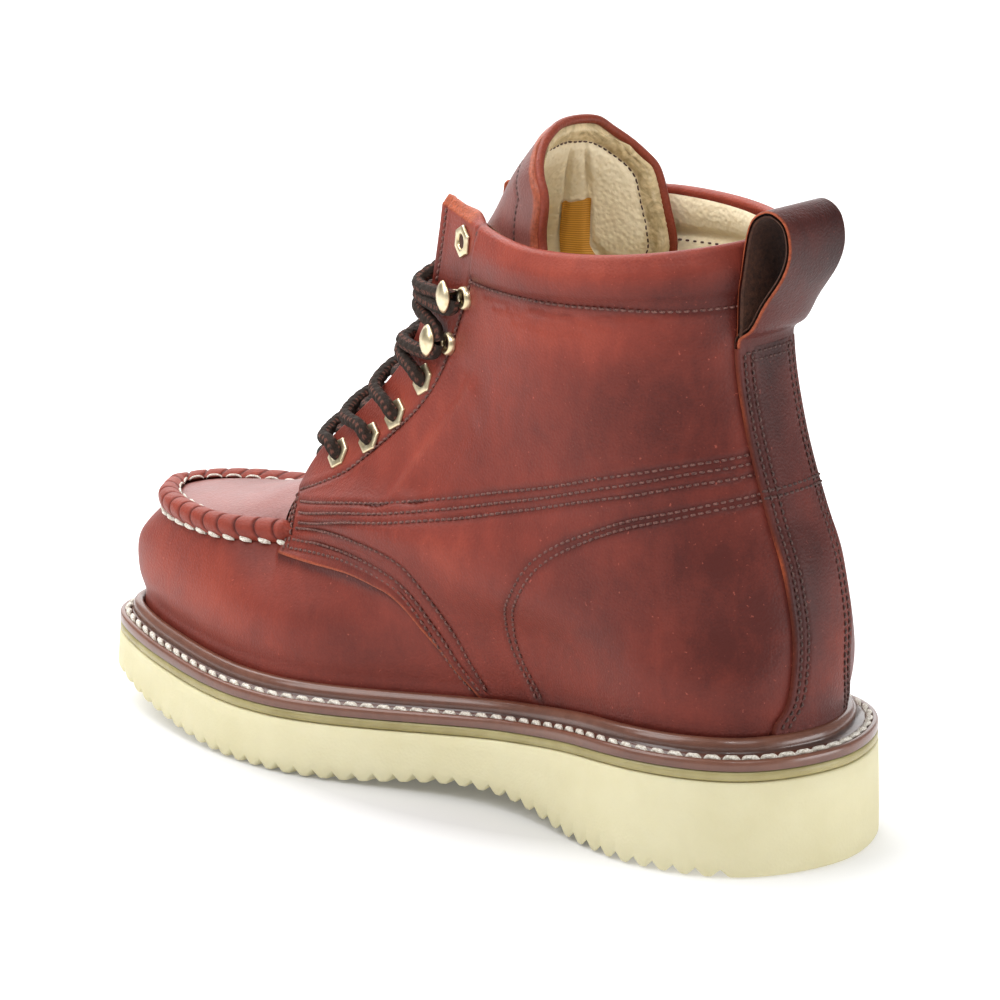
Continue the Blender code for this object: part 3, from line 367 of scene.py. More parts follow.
# Camera: turn, rise, distance, lens and shift. Soft lights: right, back and above, size and power
CAMERA_TURN = math.radians(130.74)
CAMERA_RISE = math.radians(15.34)
CAMERA_AWAY = 1.46485
CAMERA_LENS = 160.9
CAMERA_SHIFT = (0.020, 0.028)
LIGHTS = (
    ("top_softbox", (-0.3, -0.45, 1.0), (1.0, 0.8), 11),
    ("left_softbox", (-1.0, 0.45, 0.8), (0.7, 0.9), 8),
    ("front_softbox", (0.3, 1.0, 0.9), (0.8, 0.6), 4),
    ("back_softbox", (0.0, -1.7, 1.05), (2.6, 0.9), 14),
    ("right_softbox", (1.0, 0.4, -0.04), (0.6, 0.3), 3.2),
)
# A narrow light into the collar, the light of the room, and the floor's glow far from the boot and, as
# painted shade, its dimmer glow under the boot
COLLAR_POWER = 24.0
COLLAR_CONE = math.radians(12)
ROOM_LIGHT = 0.32
FLOOR_GLOW_AND_SHADE = (0.66, 0.10)


# Curves and surfaces

def smooth(xs, ys, at):
    """Smooth curve through table values that doesn't overshoot them."""
    gaps = np.diff(xs)
    slopes = np.diff(ys) / gaps
    tangents = np.zeros(len(xs))
    tangents[1:-1] = (slopes[:-1] * gaps[1:] + slopes[1:] * gaps[:-1]) / (gaps[1:] + gaps[:-1])
    limit = 3 * np.minimum(np.abs(slopes[:-1]), np.abs(slopes[1:]))
    limit[slopes[:-1] * slopes[1:] <= 0] = 0
    tangents[1:-1] = np.clip(tangents[1:-1], -limit, limit)
    at = np.clip(np.asarray(at, float), xs[0], xs[-1])
    k = np.clip(np.searchsorted(xs, at, side="right") - 1, 0, len(gaps) - 1)
    t = (at - xs[k]) / gaps[k]
    start = ys[k] * (1 + 2 * t) * (1 - t) ** 2 + tangents[k] * gaps[k] * t * (1 - t) ** 2
    return start + ys[k + 1] * t * t * (3 - 2 * t) - tangents[k + 1] * gaps[k] * t * t * (1 - t)


def between(knots, rows, at):
    """Cubic through rows of points (one row a knot), evaluated for each point of the rows."""
    gaps = np.diff(knots)[:, None, None]
    slopes = np.diff(rows, axis=0) / gaps
    tangents = np.empty_like(rows)
    tangents[0], tangents[-1] = slopes[0], slopes[-1]
    tangents[1:-1] = (slopes[:-1] * gaps[1:] + slopes[1:] * gaps[:-1]) / (gaps[1:] + gaps[:-1])
    k = np.clip(np.searchsorted(knots, at, side="right") - 1, 0, len(knots) - 2)
    n = np.arange(rows.shape[1])
    gap = np.diff(knots)[k][:, None]
    t = ((at - knots[k]) / np.diff(knots)[k])[:, None]
    start = rows[k, n] * (1 + 2 * t) * (1 - t) ** 2 + tangents[k, n] * gap * t * (1 - t) ** 2
    end = rows[k + 1, n] * t * t * (3 - 2 * t) - tangents[k + 1, n] * gap * t * t * (1 - t)
    return start + end


def path(points, count, closed=False):
    """Smooth path through points, as count points spaced evenly."""
    points = np.asarray(points, float)
    extra = 3 if closed else 0
    if closed:
        points = np.vstack([points[-extra:], points, points[: extra + 1]])
    knots = np.concatenate([[0], np.cumsum(np.sqrt(np.linalg.norm(np.diff(points, axis=0), axis=1)))])
    at = np.linspace(knots[extra], knots[-1 - extra], 40 * len(points))
    dense = between(knots, np.repeat(points[:, None], len(at), axis=1), at)
    run = runs(dense)
    even = np.linspace(0, run[-1], count)
    return np.stack([np.interp(even, run, column) for column in dense.T], axis=1)


def runs(points):
    """Distance along a line at each of its points."""
    return np.concatenate([[0], np.cumsum(np.linalg.norm(np.diff(points, axis=0), axis=1))])


def run_of(line):
    """Length of a line."""
    return np.linalg.norm(np.diff(line, axis=0), axis=1).sum()


def sole_outline():
    """Closed plan of the sole with outward normals, from the heel by the inner side."""
    rows = list(zip(*SOLE_PLAN.values()))
    ring = [(0, 0)] + [(a, i) for a, i, _ in rows] + [(BOOT_LENGTH, TOE_ACROSS)]
    ring += [(a, -o) for a, _, o in rows[::-1]]
    plan = path(ring, 2401, closed=True)
    tangent = np.gradient(plan, axis=0)
    tangent[0] = tangent[-1] = plan[1] - plan[-2]
    normal = np.stack([-tangent[:, 1], tangent[:, 0]], axis=1)
    normal /= np.linalg.norm(normal, axis=1)[:, None]
    if normal[np.argmax(plan[:, 1]), 1] < 0:
        normal = -normal
    return plan, normal


PLAN, PLAN_NORMAL = sole_outline()
TOE_INDEX = int(np.argmin(np.linalg.norm(PLAN - (BOOT_LENGTH, TOE_ACROSS), axis=1)))
SIDE_INDEX = {
    1: np.arange(0, TOE_INDEX + 1),
    -1: np.arange(len(PLAN) - 1, TOE_INDEX - 1, -1),
}
CENTRE_ACROSS = (PLAN[:, 1].max() + PLAN[:, 1].min()) / 2
CENTRE_ALONG = (PLAN[:, 0].max() + PLAN[:, 0].min()) / 2


def side(column, along):
    """A height or reach of the sole at places along it."""
    return smooth(SOLE_SIDE["along"], SOLE_SIDE[column], along)


def feather_shares():
    """For each side, how far round each outline point is: 0 at the heel, THROAT, 1 at the toe."""
    shares = {}
    for sign, index in SIDE_INDEX.items():
        feather = PLAN[index] - PLAN_NORMAL[index] * side("reach", PLAN[index, 0])[:, None]
        run = runs(feather)
        throat = run[np.argmax(feather[:, 0] >= THROAT_ALONG)]
        back = THROAT * run / throat
        front = THROAT + (1 - THROAT) * (run - throat) / (run[-1] - throat)
        shares[sign] = np.where(run <= throat, back, front)
    return shares


SHARES = feather_shares()


def by_side(u, function):
    """Evaluates function(sign, |u|) on the inner (u >= 0) and outer side."""
    u = np.asarray(u, float)
    inner, outer = function(1, np.abs(u)), function(-1, np.abs(u))
    return np.where((u >= 0)[:, None], inner, outer)


def outline_at(u):
    """Outline point and outward normal for each u, as along, across, normal along, normal across."""
    def one(sign, a):
        both = np.hstack([PLAN, PLAN_NORMAL])[SIDE_INDEX[sign]]
        return np.stack([np.interp(a, SHARES[sign], column) for column in both.T], axis=1)
    return by_side(u, one)


def wall_rail(u, letter):
    """A rail of the lower wall, at a table rise above the midsole."""
    spot = outline_at(u)
    along = spot[:, 0]

    def value(name):
        return smooth(WALL_RAILS["along"], WALL_RAILS[name], along)

    if letter is None:
        rise, bulge = np.full(len(along), GAP), np.zeros(len(along))
    elif letter == "a":
        rise, bulge = value("rise_a"), value("bulge_a")
    else:
        rise = value("rise_" + letter)
        inner = step_up(-0.06, 0.06, u)
        bulge = value("bulge_in_" + letter) * inner + value("bulge_out_" + letter) * (1 - inner)
    inset = (side("reach", along) - bulge)[:, None]
    plan = spot[:, :2] - spot[:, 2:] * inset
    return np.column_stack([plan, side("top", plan[:, 0]) + rise])


def wall_rails(u):
    """The four rails of the lower wall."""
    return [wall_rail(u, letter) for letter in (None, "a", "b", "c")]


def oval_rail(u, row):
    """A rail of the quarters: an oval in plan that ends at the lacing edge."""
    size = {name: OVALS[name][row] for name in OVALS}

    def one(sign, a):
        half = size["half_in"] if sign > 0 else size["half_out"]
        dip = size["dip_in"] if sign > 0 else size["dip_out"]
        turn = np.linspace(0, math.pi / 2, 200)
        back_along = size["middle"] - (size["middle"] - size["back"]) * np.cos(turn) ** (2 / OVAL_BOW)
        back_across = half * np.sin(turn) ** (2 / OVAL_BOW)
        length = size["front"] - size["middle"]
        t = np.linspace(0, 1, 200)[1:]
        ease = t * t * (3 - 2 * t)
        front_across = half * (1 - ease) + size["edge"] * ease - size["slope"] * length * t * t * (1 - t)
        along = np.concatenate([back_along, size["middle"] + length * t])
        across = np.concatenate([back_across, front_across])
        run = np.concatenate([[0], np.cumsum(np.hypot(np.diff(along), np.diff(across)))])
        at = np.clip(a / THROAT, 0, 1) * run[-1]
        s, x = np.interp(at, run, along), np.interp(at, run, across) * sign
        x = x + HEEL_SHIFT * np.clip((size["middle"] - s) / (size["middle"] - size["back"]), 0, 1) ** 2
        share = (s - size["back"]) / (size["front"] - size["back"])
        up = size["up_back"] + (size["up_front"] - size["up_back"]) * share - dip * np.sin(np.pi * share)
        return np.column_stack([s, x, up])
    return by_side(u, one)


SEAM_PATHS = {1: path(SEAM_INNER, 400), -1: path(SEAM_OUTER, 400)}


def toe_share(u):
    """How far from the throat (0) to the toe (1)."""
    return np.clip((np.abs(u) - THROAT) / (1 - THROAT), 0, 1)


def seam_rail(u):
    """The moc seam, from the throat to the toe."""
    def one(sign, a):
        share = toe_share(a)
        even = np.linspace(0, 1, 400)
        plan = [np.interp(share, even, column) for column in SEAM_PATHS[sign].T]
        return np.column_stack(plan + [smooth(SEAM_UP["share"], SEAM_UP["up"], share)])
    return by_side(u, one)


def plug_point(u, f):
    """The toe plug: f runs from the inner seam (0) to the outer seam (1)."""
    share = toe_share(u)
    inner, outer = seam_rail(np.abs(u)), seam_rail(-np.abs(u) - 1e-9)
    arch = np.clip(4 * f * (1 - f), 0, 1)
    point = inner + (outer - inner) * f[:, None]
    point[:, 0] += smooth(PLUG["share"], PLUG["bow"], share) * arch
    point[:, 2] += smooth(PLUG["share"], PLUG["crown"], share) * arch ** 0.7
    return point


def plug_share(u, at):
    """Where a place between the seam and the plug's edge falls across the plug."""
    f = PLUG_EDGE * (at - SEAM_AT) / (PLUG_AT - SEAM_AT)
    return np.where(u >= 0, f, 1 - f)


def shell(u, at):
    """The upper's leather before ridge and overlays: u round the foot, at up the wall."""
    u, at = np.asarray(u, float), np.asarray(at, float)
    toe = np.abs(u) > THROAT
    rails = wall_rails(u)
    for row in range(len(OVALS["back"])):
        rail = oval_rail(u, row)
        if row == 0:
            rail[toe] = seam_rail(u)[toe]
        elif toe.any():
            rail[toe] = plug_point(u, plug_share(u, np.full(len(u), PLUG_AT)))[toe]
        rails.append(rail)
    point = between(RAIL_AT, np.array(rails), at)
    near = (np.abs(u) <= THROAT) & (at > SEAM_AT) & (at < PLUG_AT + 20)
    if near.any():
        edge = np.where(u >= 0, THROAT, -THROAT)
        upto = np.minimum(at, PLUG_AT)
        plain = wall_rails(edge) + [oval_rail(edge, row) for row in range(len(OVALS["back"]))]
        shift = plug_point(edge, plug_share(u, upto)) - between(RAIL_AT, np.array(plain), upto)
        fade = (np.abs(u) / THROAT) ** 14 * np.clip((PLUG_AT + 20 - at) / 20, 0, 1) ** 2
        point = point + np.where(near[:, None], shift * fade[:, None], 0)
    return point


def step_up(low, high, value):
    """Zero below low, one above high and a smooth step between."""
    t = np.clip((value - low) / (high - low), 0, 1)
    return t * t * (3 - 2 * t)


def bell(value, half):
    """One at zero, falling off smoothly on both sides."""
    return np.exp(-(value / half) ** 2)


def circle(sides):
    """Even angles round a ring."""
    return 2 * np.pi * np.arange(sides) / sides


def vamp_recess(u, at, point):
    """How far the vamp lies below the quarter that is laid over it."""
    along, up = point[:, 0], point[:, 2]
    lower = smooth(WING["along"], WING["up"], along)
    over = step_up(-1.5, 1.5, up - lower) * step_up(-1, 1, WING_FRONT - along)
    over = np.where(np.abs(u) > THROAT + 1e-6, 0, np.where(along < WING["along"][0], 1, over))
    return WING_STEP * (1 - over) * step_up(6, 12, at)


def shell_normal(u, at):
    """Outward normals of the shell on the quarters."""
    du, dv = 1e-4, 0.05
    low, high = np.clip(at - dv, 0, TOP_AT), np.clip(at + dv, 0, TOP_AT)
    round_foot = shell(u + du, at) - shell(u - du, at)
    upward = shell(u, high) - shell(u, low)
    normal = np.cross(upward, round_foot)
    normal /= np.linalg.norm(normal, axis=1)[:, None]
    out = np.sum(normal[:, :2] * (shell(u, at)[:, :2] - INSIDE), axis=1)
    return normal * np.sign(out)[:, None]


def shell_grid(u, at):
    """The shell at each place of a grid."""
    return shell(u.ravel(), at.ravel()).reshape(*at.shape, 3)


def nearest_on_shell(spot):
    """The (u, at) of the quarter's surface nearest a place."""
    sign = 1 if spot[1] >= 0 else -1
    u_span, at_span = (0.25, THROAT), (60.0, TOP_AT)
    for _ in range(4):
        us, ats = np.meshgrid(np.linspace(*u_span, 25), np.linspace(*at_span, 25))
        us, ats = us.ravel(), ats.ravel()
        best = np.argmin(np.linalg.norm(shell(us * sign, ats) - spot, axis=1))
        u_step, at_step = (u_span[1] - u_span[0]) / 12, (at_span[1] - at_span[0]) / 12
        u_span = (us[best] - u_step, min(us[best] + u_step, THROAT))
        at_span = (ats[best] - at_step, min(ats[best] + at_step, TOP_AT))
    return us[best] * sign, ats[best]


def world(points):
    """Along, across, up in millimetres to metres in the part's frame."""
    points = np.asarray(points, float)
    return np.column_stack([
        points[:, 1] - CENTRE_ACROSS, CENTRE_ALONG - points[:, 0], points[:, 2],
    ]) * MM


def half_width(sign, offset, along):
    """Across of the outline, moved out by offset, at places along the boot."""
    index = SIDE_INDEX[sign]
    edge = PLAN[index] + PLAN_NORMAL[index] * np.asarray(offset).reshape(-1, 1)
    order = np.argsort(edge[:, 0], kind="stable")
    return np.interp(along, edge[order, 0], edge[order, 1])


def reach_of(extra):
    """Inset of each outline point that leaves extra beyond the welt's reach."""
    return {sign: -side("reach", PLAN[index, 0]) - extra for sign, index in SIDE_INDEX.items()}


def span_along(offsets):
    """First and last place along the boot of an outline moved out by offsets."""
    ends = [PLAN[index] + PLAN_NORMAL[index] * np.asarray(offsets[sign]).reshape(-1, 1)
            for sign, index in SIDE_INDEX.items()]
    return max(e[0, 0] for e in ends), min(e[-1, 0] for e in ends)


def on_back(at, across):
    """The u at which the back of the heel is this far from the centre line."""
    step = 1e-3
    zero = np.zeros_like(at)
    rate = np.linalg.norm(shell(zero + step, at) - shell(zero, at), axis=1) / step
    return across / rate


def tucked_row(share, span, w):
    """The tongue's outer face under the toe plug."""
    u = np.full(len(w), THROAT + (1 - THROAT) * share)
    point = plug_point(u, 0.5 - span * w)
    point[:, 2] -= WALL + TONGUE_CLEAR + TONGUE_SINK
    return point


def laced_row(at, flank, w):
    """The tongue's outer face at one place up the wall: under the quarters, and bridging between them."""
    at = np.full(len(w), float(at))
    length = run_of(shell(np.linspace(0, THROAT, 80), at[:1].repeat(80)))
    behind = np.clip((np.abs(w) - TONGUE_BRIDGE) / (1 - TONGUE_BRIDGE), 0, 1) * flank / length
    u = np.where(w >= 0, 1, -1) * THROAT * (1 - behind)
    flanks = shell(u, at) - shell_normal(u * 0.998, at) * (WALL + TONGUE_CLEAR)
    ends = np.array([-THROAT, THROAT])
    left, right = shell(ends, at[:2]) - shell_normal(ends * 0.998, at[:2]) * (WALL + TONGUE_CLEAR)
    share = np.clip(w / TONGUE_BRIDGE, -1, 1)[:, None]
    up_wall = shell(ends[1:], at[:1] + 1) - shell(ends[1:], at[:1] - 1)
    crown = np.array([up_wall[0, 2], 0, -up_wall[0, 0]])
    crown *= TONGUE_CROWN / np.linalg.norm(crown)
    bridge = left + (right - left) * (share + 1) / 2 + crown * (1 - share ** 2)
    return np.where(np.abs(w[:, None]) > TONGUE_BRIDGE, flanks, bridge)


def free_row(row, w):
    """The tongue's outer face above the cuff: a half oval open to the back."""
    turn = w * TONGUE_TURN
    across = row["half"] * np.sin(turn) / math.sin(TONGUE_TURN)
    back = row["depth"] * (1 - np.cos(turn)) / (1 - math.cos(TONGUE_TURN))
    return np.column_stack([row["along"] - back, across, row["up"] - row["drop"] * w ** 2])


def rows_of(columns):
    """The rows of a table, each with its names."""
    return [dict(zip(columns, values)) for values in zip(*columns.values())]


def tongue_face(count, w):
    """Even rows of the tongue's outer face, and the thickness of each row."""
    sections = [tucked_row(r["share"], r["span"], w) for r in rows_of(TONGUE_TUCKED)]
    sections += [laced_row(r["at"], r["flank"], w) for r in rows_of(TONGUE_LACED)]
    sections += [free_row(r, w) for r in rows_of(TONGUE_FREE)]
    thick = np.concatenate([TONGUE_TUCKED["thick"], TONGUE_LACED["thick"], TONGUE_FREE["thick"]])
    sections = np.array(sections)
    centre = sections[:, len(w) // 2]
    knots = runs(centre)
    even = np.linspace(0, knots[-1], count)
    face = np.array([between(knots, sections, np.full(len(w), at)) for at in even])
    return face, smooth(knots, thick, even)


def spot_of(row, hand):
    """A place from a table on the inner (1) or outer (-1) side."""
    return (row["along"], hand * row["across"], row["up"])


def seat(spot):
    """Centre, outward normal and direction toward the lacing edge at a place on the quarter."""
    u, at = nearest_on_shell(np.array(spot))
    u, at = np.array([u]), np.array([at])
    centre, normal = shell(u, at)[0], shell_normal(u, at)[0]
    forward = (shell(u + 1e-3 * np.sign(u), at) - shell(u, at))[0]
    forward /= np.linalg.norm(forward)
    return centre, normal, forward, at[0]


# Looks of the materials

def shader_node(tree, kind, settings=None, **sockets):
    """A node with its settings, its plain socket values and its links."""
    made = tree.nodes.new("ShaderNode" + kind)
    for name, value in (settings or {}).items():
        setattr(made, name, value)
    for name, value in sockets.items():
        numbered = name[0] == "i" and name[1:].isdigit()
        socket = made.inputs[int(name[1:]) if numbered else name.replace("_", " ")]
        if isinstance(value, bpy.types.NodeSocket):
            tree.links.new(value, socket)
        else:
            socket.default_value = value
    return made


def start_paint(name, roughness, **values):
    """A new material and the parts of its node tree that every paint uses."""
    made = bpy.data.materials.new(name)
    made.use_nodes = True
    tree = made.node_tree
    shader = tree.nodes["Principled BSDF"]
    shader.inputs["Roughness"].default_value = roughness
    for key, value in values.items():
        shader.inputs[key.replace("_", " ")].default_value = value
    place = shader_node(tree, "TexCoord").outputs["Object"]
    return made, tree, shader, place


def noise(tree, place, scale, detail=3.0, rough=0.55, distort=0.0):
    made = shader_node(
        tree, "TexNoise", Vector=place, Scale=scale, Detail=detail, Roughness=rough, Distortion=distort)
    return made.outputs["Fac"]


def cells(tree, place, scale, feature="F1"):
    made = shader_node(tree, "TexVoronoi", {"feature": feature}, Vector=place, Scale=scale)
    return made.outputs["Distance"]


def combine(tree, operation, first, second):
    return shader_node(tree, "Math", {"operation": operation}, i0=first, i1=second).outputs[0]


def sums(tree, *terms):
    """Weighted sum of sockets: pairs of socket and weight, and plain numbers."""
    total = None
    for term in terms:
        part = combine(tree, "MULTIPLY", *term) if isinstance(term, tuple) else term
        total = part if total is None else combine(tree, "ADD", total, part)
    return total


def ramp(tree, factor, *stops):
    """Colours at places from 0 to 1."""
    made = shader_node(tree, "ValToRGB", Fac=factor)
    while len(made.color_ramp.elements) < len(stops):
        made.color_ramp.elements.new(0.5)
    for element, (place, colour) in zip(made.color_ramp.elements, stops):
        element.position = place
        element.color = (*colour, 1)
    return made.outputs["Color"]


def mixed(tree, factor, first, second):
    """Two colours or sockets mixed by a factor."""
    made = shader_node(tree, "Mix", {"data_type": "RGBA"}, Factor=factor)
    for socket, value in ((made.inputs[6], first), (made.inputs[7], second)):
        if isinstance(value, bpy.types.NodeSocket):
            tree.links.new(value, socket)
        else:
            socket.default_value = (*value, 1)
    return made.outputs[2]


def value_of(tree, name):
    """The value that the mesh carries at each point."""
    return shader_node(tree, "Attribute", {"attribute_name": name}).outputs["Fac"]


def coloured(tree, shader, colour):
    tree.links.new(colour, shader.inputs["Base Color"])


def bump(tree, shader, height, strength, distance):
    made = shader_node(tree, "Bump", Height=height, Strength=strength, Distance=distance)
    tree.links.new(made.outputs["Normal"], shader.inputs["Normal"])


def spread(tree, factor, low, high):
    """A factor of 0 to 1 as a value from low to high."""
    return shader_node(tree, "MapRange", Value=factor, To_Min=low, To_Max=high).outputs[0]


def leather_paint(name, dark, middle, bright, roughness=0.44, gloss=0.23, coat=0.03):
    """Oiled leather: blotches that follow the tone of each panel (which carries painted shade and highlights
    besides the leather's own mottling), grain, dust and raw cut edges.
    """
    made, tree, shader, place = start_paint(
        name, roughness, Specular_IOR_Level=gloss, Coat_Weight=coat, Coat_Roughness=0.3)
    broad = noise(tree, place, 22, 3)
    scuff = noise(tree, place, 95, 5, 0.62, 0.4)
    grain = noise(tree, place, 1500, 3)
    drawn = shader_node(tree, "Mapping", Vector=place, Scale=(1.0, 1.0, 0.4)).outputs[0]
    streak = noise(tree, drawn, 130, 4, 0.6, 0.9)
    tone = sums(tree, value_of(tree, "tone"), (broad, 0.34), (scuff, 0.30), (streak, 0.24), (grain, 0.20),
                -0.54)
    colour = ramp(tree, tone, (0.06, dark), (0.45, middle), (0.92, bright))
    dust = ramp(tree, noise(tree, place, 700, 2), (0.70, (0, 0, 0)), (0.76, (1, 1, 1)))
    faint = combine(tree, "MULTIPLY", dust, 0.30)
    colour = mixed(tree, faint, colour, tuple(min(1, c * 1.5 + 0.05) for c in bright))
    fuzz = noise(tree, place, 900, 4, 0.7)
    edge = ramp(tree, fuzz, (0.3, tuple(c * 0.55 for c in RAW)), (0.7, tuple(c * 1.25 for c in RAW)))
    colour = mixed(tree, value_of(tree, "raw"), colour, edge)
    coloured(tree, shader, colour)
    tree.links.new(spread(tree, scuff, roughness - 0.09, roughness + 0.12), shader.inputs["Roughness"])
    height = sums(tree, (cells(tree, place, 1100), 0.5), (grain, 0.5), (fuzz, 0.35), (scuff, 0.6))
    bump(tree, shader, height, 0.40, 0.0006)
    return made


def lining_paint():
    """Pebbled cream lining; the border of the tongue is an olive-beige binding with deeper wrinkles."""
    made, tree, shader, place = start_paint("lining_paint", 0.62)
    pebble, wrinkle = cells(tree, place, 700, "SMOOTH_F1"), noise(tree, place, 180, 5, 0.65, 1.2)
    broad = noise(tree, place, 40, 3)
    blotch = sums(tree, (broad, 0.7), (wrinkle, 0.5), -0.1)
    cream = ramp(tree, blotch, (0.2, (0.80, 0.65, 0.42)), (0.7, (0.96, 0.86, 0.63)))
    beige = ramp(tree, wrinkle, (0.30, (0.40, 0.30, 0.15)), (0.62, (0.74, 0.58, 0.33)))
    colour = mixed(tree, value_of(tree, "border"), cream, beige)
    coloured(tree, shader, colour)
    bump(tree, shader, sums(tree, (pebble, 0.9), (wrinkle, 0.6)), 0.42, 0.0010)
    return made


def foam_paint():
    """Matt cream foam with fine pores."""
    made, tree, shader, place = start_paint(
        "foam_paint", 0.72,
        Subsurface_Weight=0.12, Subsurface_Radius=(1.0, 0.8, 0.4), Subsurface_Scale=0.004)
    pores, broad = cells(tree, place, 1000), noise(tree, place, 30, 4)
    coloured(tree, shader, ramp(tree, broad, (0.3, (0.68, 0.62, 0.38)), (0.7, (0.75, 0.695, 0.46))))
    bump(tree, shader, sums(tree, (pores, 0.7), (noise(tree, place, 600, 3), 0.6)), 0.18, 0.0006)
    return made


def rubber_paint():
    """Smooth olive rubber."""
    made, tree, shader, place = start_paint(
        "olive_paint", 0.38,
        Subsurface_Weight=0.25, Subsurface_Radius=(1.0, 0.9, 0.4), Subsurface_Scale=0.003)
    broad = noise(tree, place, 60, 4)
    coloured(tree, shader, ramp(tree, broad, (0.3, (0.30, 0.245, 0.095)), (0.7, (0.44, 0.38, 0.18))))
    bump(tree, shader, noise(tree, place, 500, 3), 0.12, 0.0005)
    return made


def welt_paint():
    """Burnished welt: brown on its flat lip and bead, darker in the groove as painted shade and lighter on
    the tops as painted highlights.
    """
    made, tree, shader, place = start_paint("welt_paint", 0.30, Coat_Weight=0.45, Coat_Roughness=0.16)
    broad, scuff = noise(tree, place, 45, 4), noise(tree, place, 320, 4, 0.6, 0.5)
    tone = sums(tree, value_of(tree, "tone"), (broad, 0.4), (scuff, 0.3), -0.35)
    colour = ramp(tree, tone, (0.1, (0.040, 0.014, 0.009)), (0.5, (0.145, 0.052, 0.030)),
                  (0.95, (0.27, 0.115, 0.070)))
    coloured(tree, shader, colour)
    tree.links.new(spread(tree, scuff, 0.24, 0.42), shader.inputs["Roughness"])
    bump(tree, shader, sums(tree, (scuff, 1.0), (noise(tree, place, 1300, 2), 0.4)), 0.14, 0.0005)
    return made


def brass_paint():
    """Worn polished brass."""
    made, tree, shader, place = start_paint("brass_paint", 0.26, Metallic=1.0)
    wear = noise(tree, place, 420, 4)
    coloured(tree, shader, ramp(tree, wear, (0.3, (0.66, 0.53, 0.31)), (0.65, (0.86, 0.75, 0.52))))
    tree.links.new(spread(tree, wear, 0.24, 0.42), shader.inputs["Roughness"])
    bump(tree, shader, noise(tree, place, 900, 3), 0.08, 0.0003)
    return made


def thread_paint(name, dark, light):
    """Twisted thread."""
    made, tree, shader, place = start_paint(name, 0.66)
    ply = noise(tree, place, 1600, 2, 0.5, 0.6)
    coloured(tree, shader, ramp(tree, ply, (0.35, dark), (0.62, light)))
    bump(tree, shader, ply, 0.45, 0.0005)
    return made


def lace_paint():
    """Braided cord: dark strands with red-brown flecks, placed by the braid of the mesh."""
    made, tree, shader, place = start_paint("lace_paint", 0.8, Specular_IOR_Level=0.25)
    fibre = noise(tree, place, 2600, 3)
    dark = ramp(tree, fibre, (0.3, (0.012, 0.008, 0.006)), (0.7, (0.040, 0.025, 0.018)))
    red = ramp(tree, fibre, (0.3, (0.085, 0.030, 0.022)), (0.7, (0.20, 0.075, 0.052)))
    coloured(tree, shader, mixed(tree, value_of(tree, "fleck"), dark, red))
    bump(tree, shader, fibre, 0.4, 0.0004)
    return made


def label_paint():
    """Plain woven label with no lettering."""
    made, tree, shader, place = start_paint("label_paint", 0.6)
    weave = shader_node(tree, "TexWave", {"bands_direction": "Z"}, Vector=place, Scale=420.0).outputs["Fac"]
    coloured(tree, shader, ramp(tree, weave, (0.2, (0.50, 0.215, 0.02)), (0.8, (0.72, 0.35, 0.05))))
    bump(tree, shader, weave, 0.35, 0.0003)
    return made


def plain_paint(name, dark, light, roughness):
    """Matt cut leather with a little grain."""
    made, tree, shader, place = start_paint(name, roughness)
    fuzz = noise(tree, place, 700, 4, 0.7)
    coloured(tree, shader, ramp(tree, fuzz, (0.3, dark), (0.7, light)))
    bump(tree, shader, fuzz, 0.5, 0.0006)
    return made


PAINT = {
    "leather": leather_paint("leather_paint", (0.085, 0.015, 0.011), (0.225, 0.037, 0.023),
                             (0.46, 0.084, 0.046)),
    "dark_leather": leather_paint("dark_leather_paint", (0.036, 0.011, 0.010), (0.108, 0.026, 0.021),
                                  (0.28, 0.052, 0.032), 0.42, 0.17, 0.03),
    "plug_leather": leather_paint("plug_leather_paint", (0.10, 0.026, 0.021), (0.22, 0.052, 0.040),
                                  (0.40, 0.12, 0.095), 0.38, 0.48, 0.20),
    # The tongue's paint is lighter and greyer than the dark leather: its own mauve brown with painted sheen.
    "tongue_leather": leather_paint("tongue_leather_and_sheen_paint", (0.070, 0.024, 0.021), (0.178, 0.060, 0.050),
                                    (0.32, 0.11, 0.09), 0.42, 0.32, 0.10),
    # Suede for the loop's inside, and for the discs of painted shade in the eyelet and rivet holes.
    "suede": plain_paint("suede_and_hole_shade_paint", (0.030, 0.011, 0.006), (0.10, 0.036, 0.018), 0.9),
    "lining": lining_paint(),
    "foam": foam_paint(),
    "olive": rubber_paint(),
    "welt": welt_paint(),
    "brass": brass_paint(),
    "brown_thread": thread_paint("brown_thread", (0.064, 0.021, 0.017), (0.22, 0.092, 0.072)),
    "dark_thread": thread_paint("dark_thread", (0.034, 0.015, 0.013), (0.12, 0.055, 0.045)),
    "cream_thread": thread_paint("cream_thread", (0.56, 0.50, 0.40), (0.90, 0.86, 0.78)),
    "lace": lace_paint(),
    "label": label_paint(),
}


# Building of pieces

def grid_faces(rows, columns, flip=False, wrap=False, start=0):
    """Four-sided faces of a grid of points, seen from outside unless flipped."""
    i, j = np.meshgrid(np.arange(rows - 1), np.arange(columns if wrap else columns - 1), indexing="ij")
    i, j = i.ravel(), j.ravel()
    n = (j + 1) % columns
    low, high = i * columns + start, (i + 1) * columns + start
    quads = np.stack([low + j, high + j, high + n, low + n], axis=1)
    return quads[:, ::-1] if flip else quads


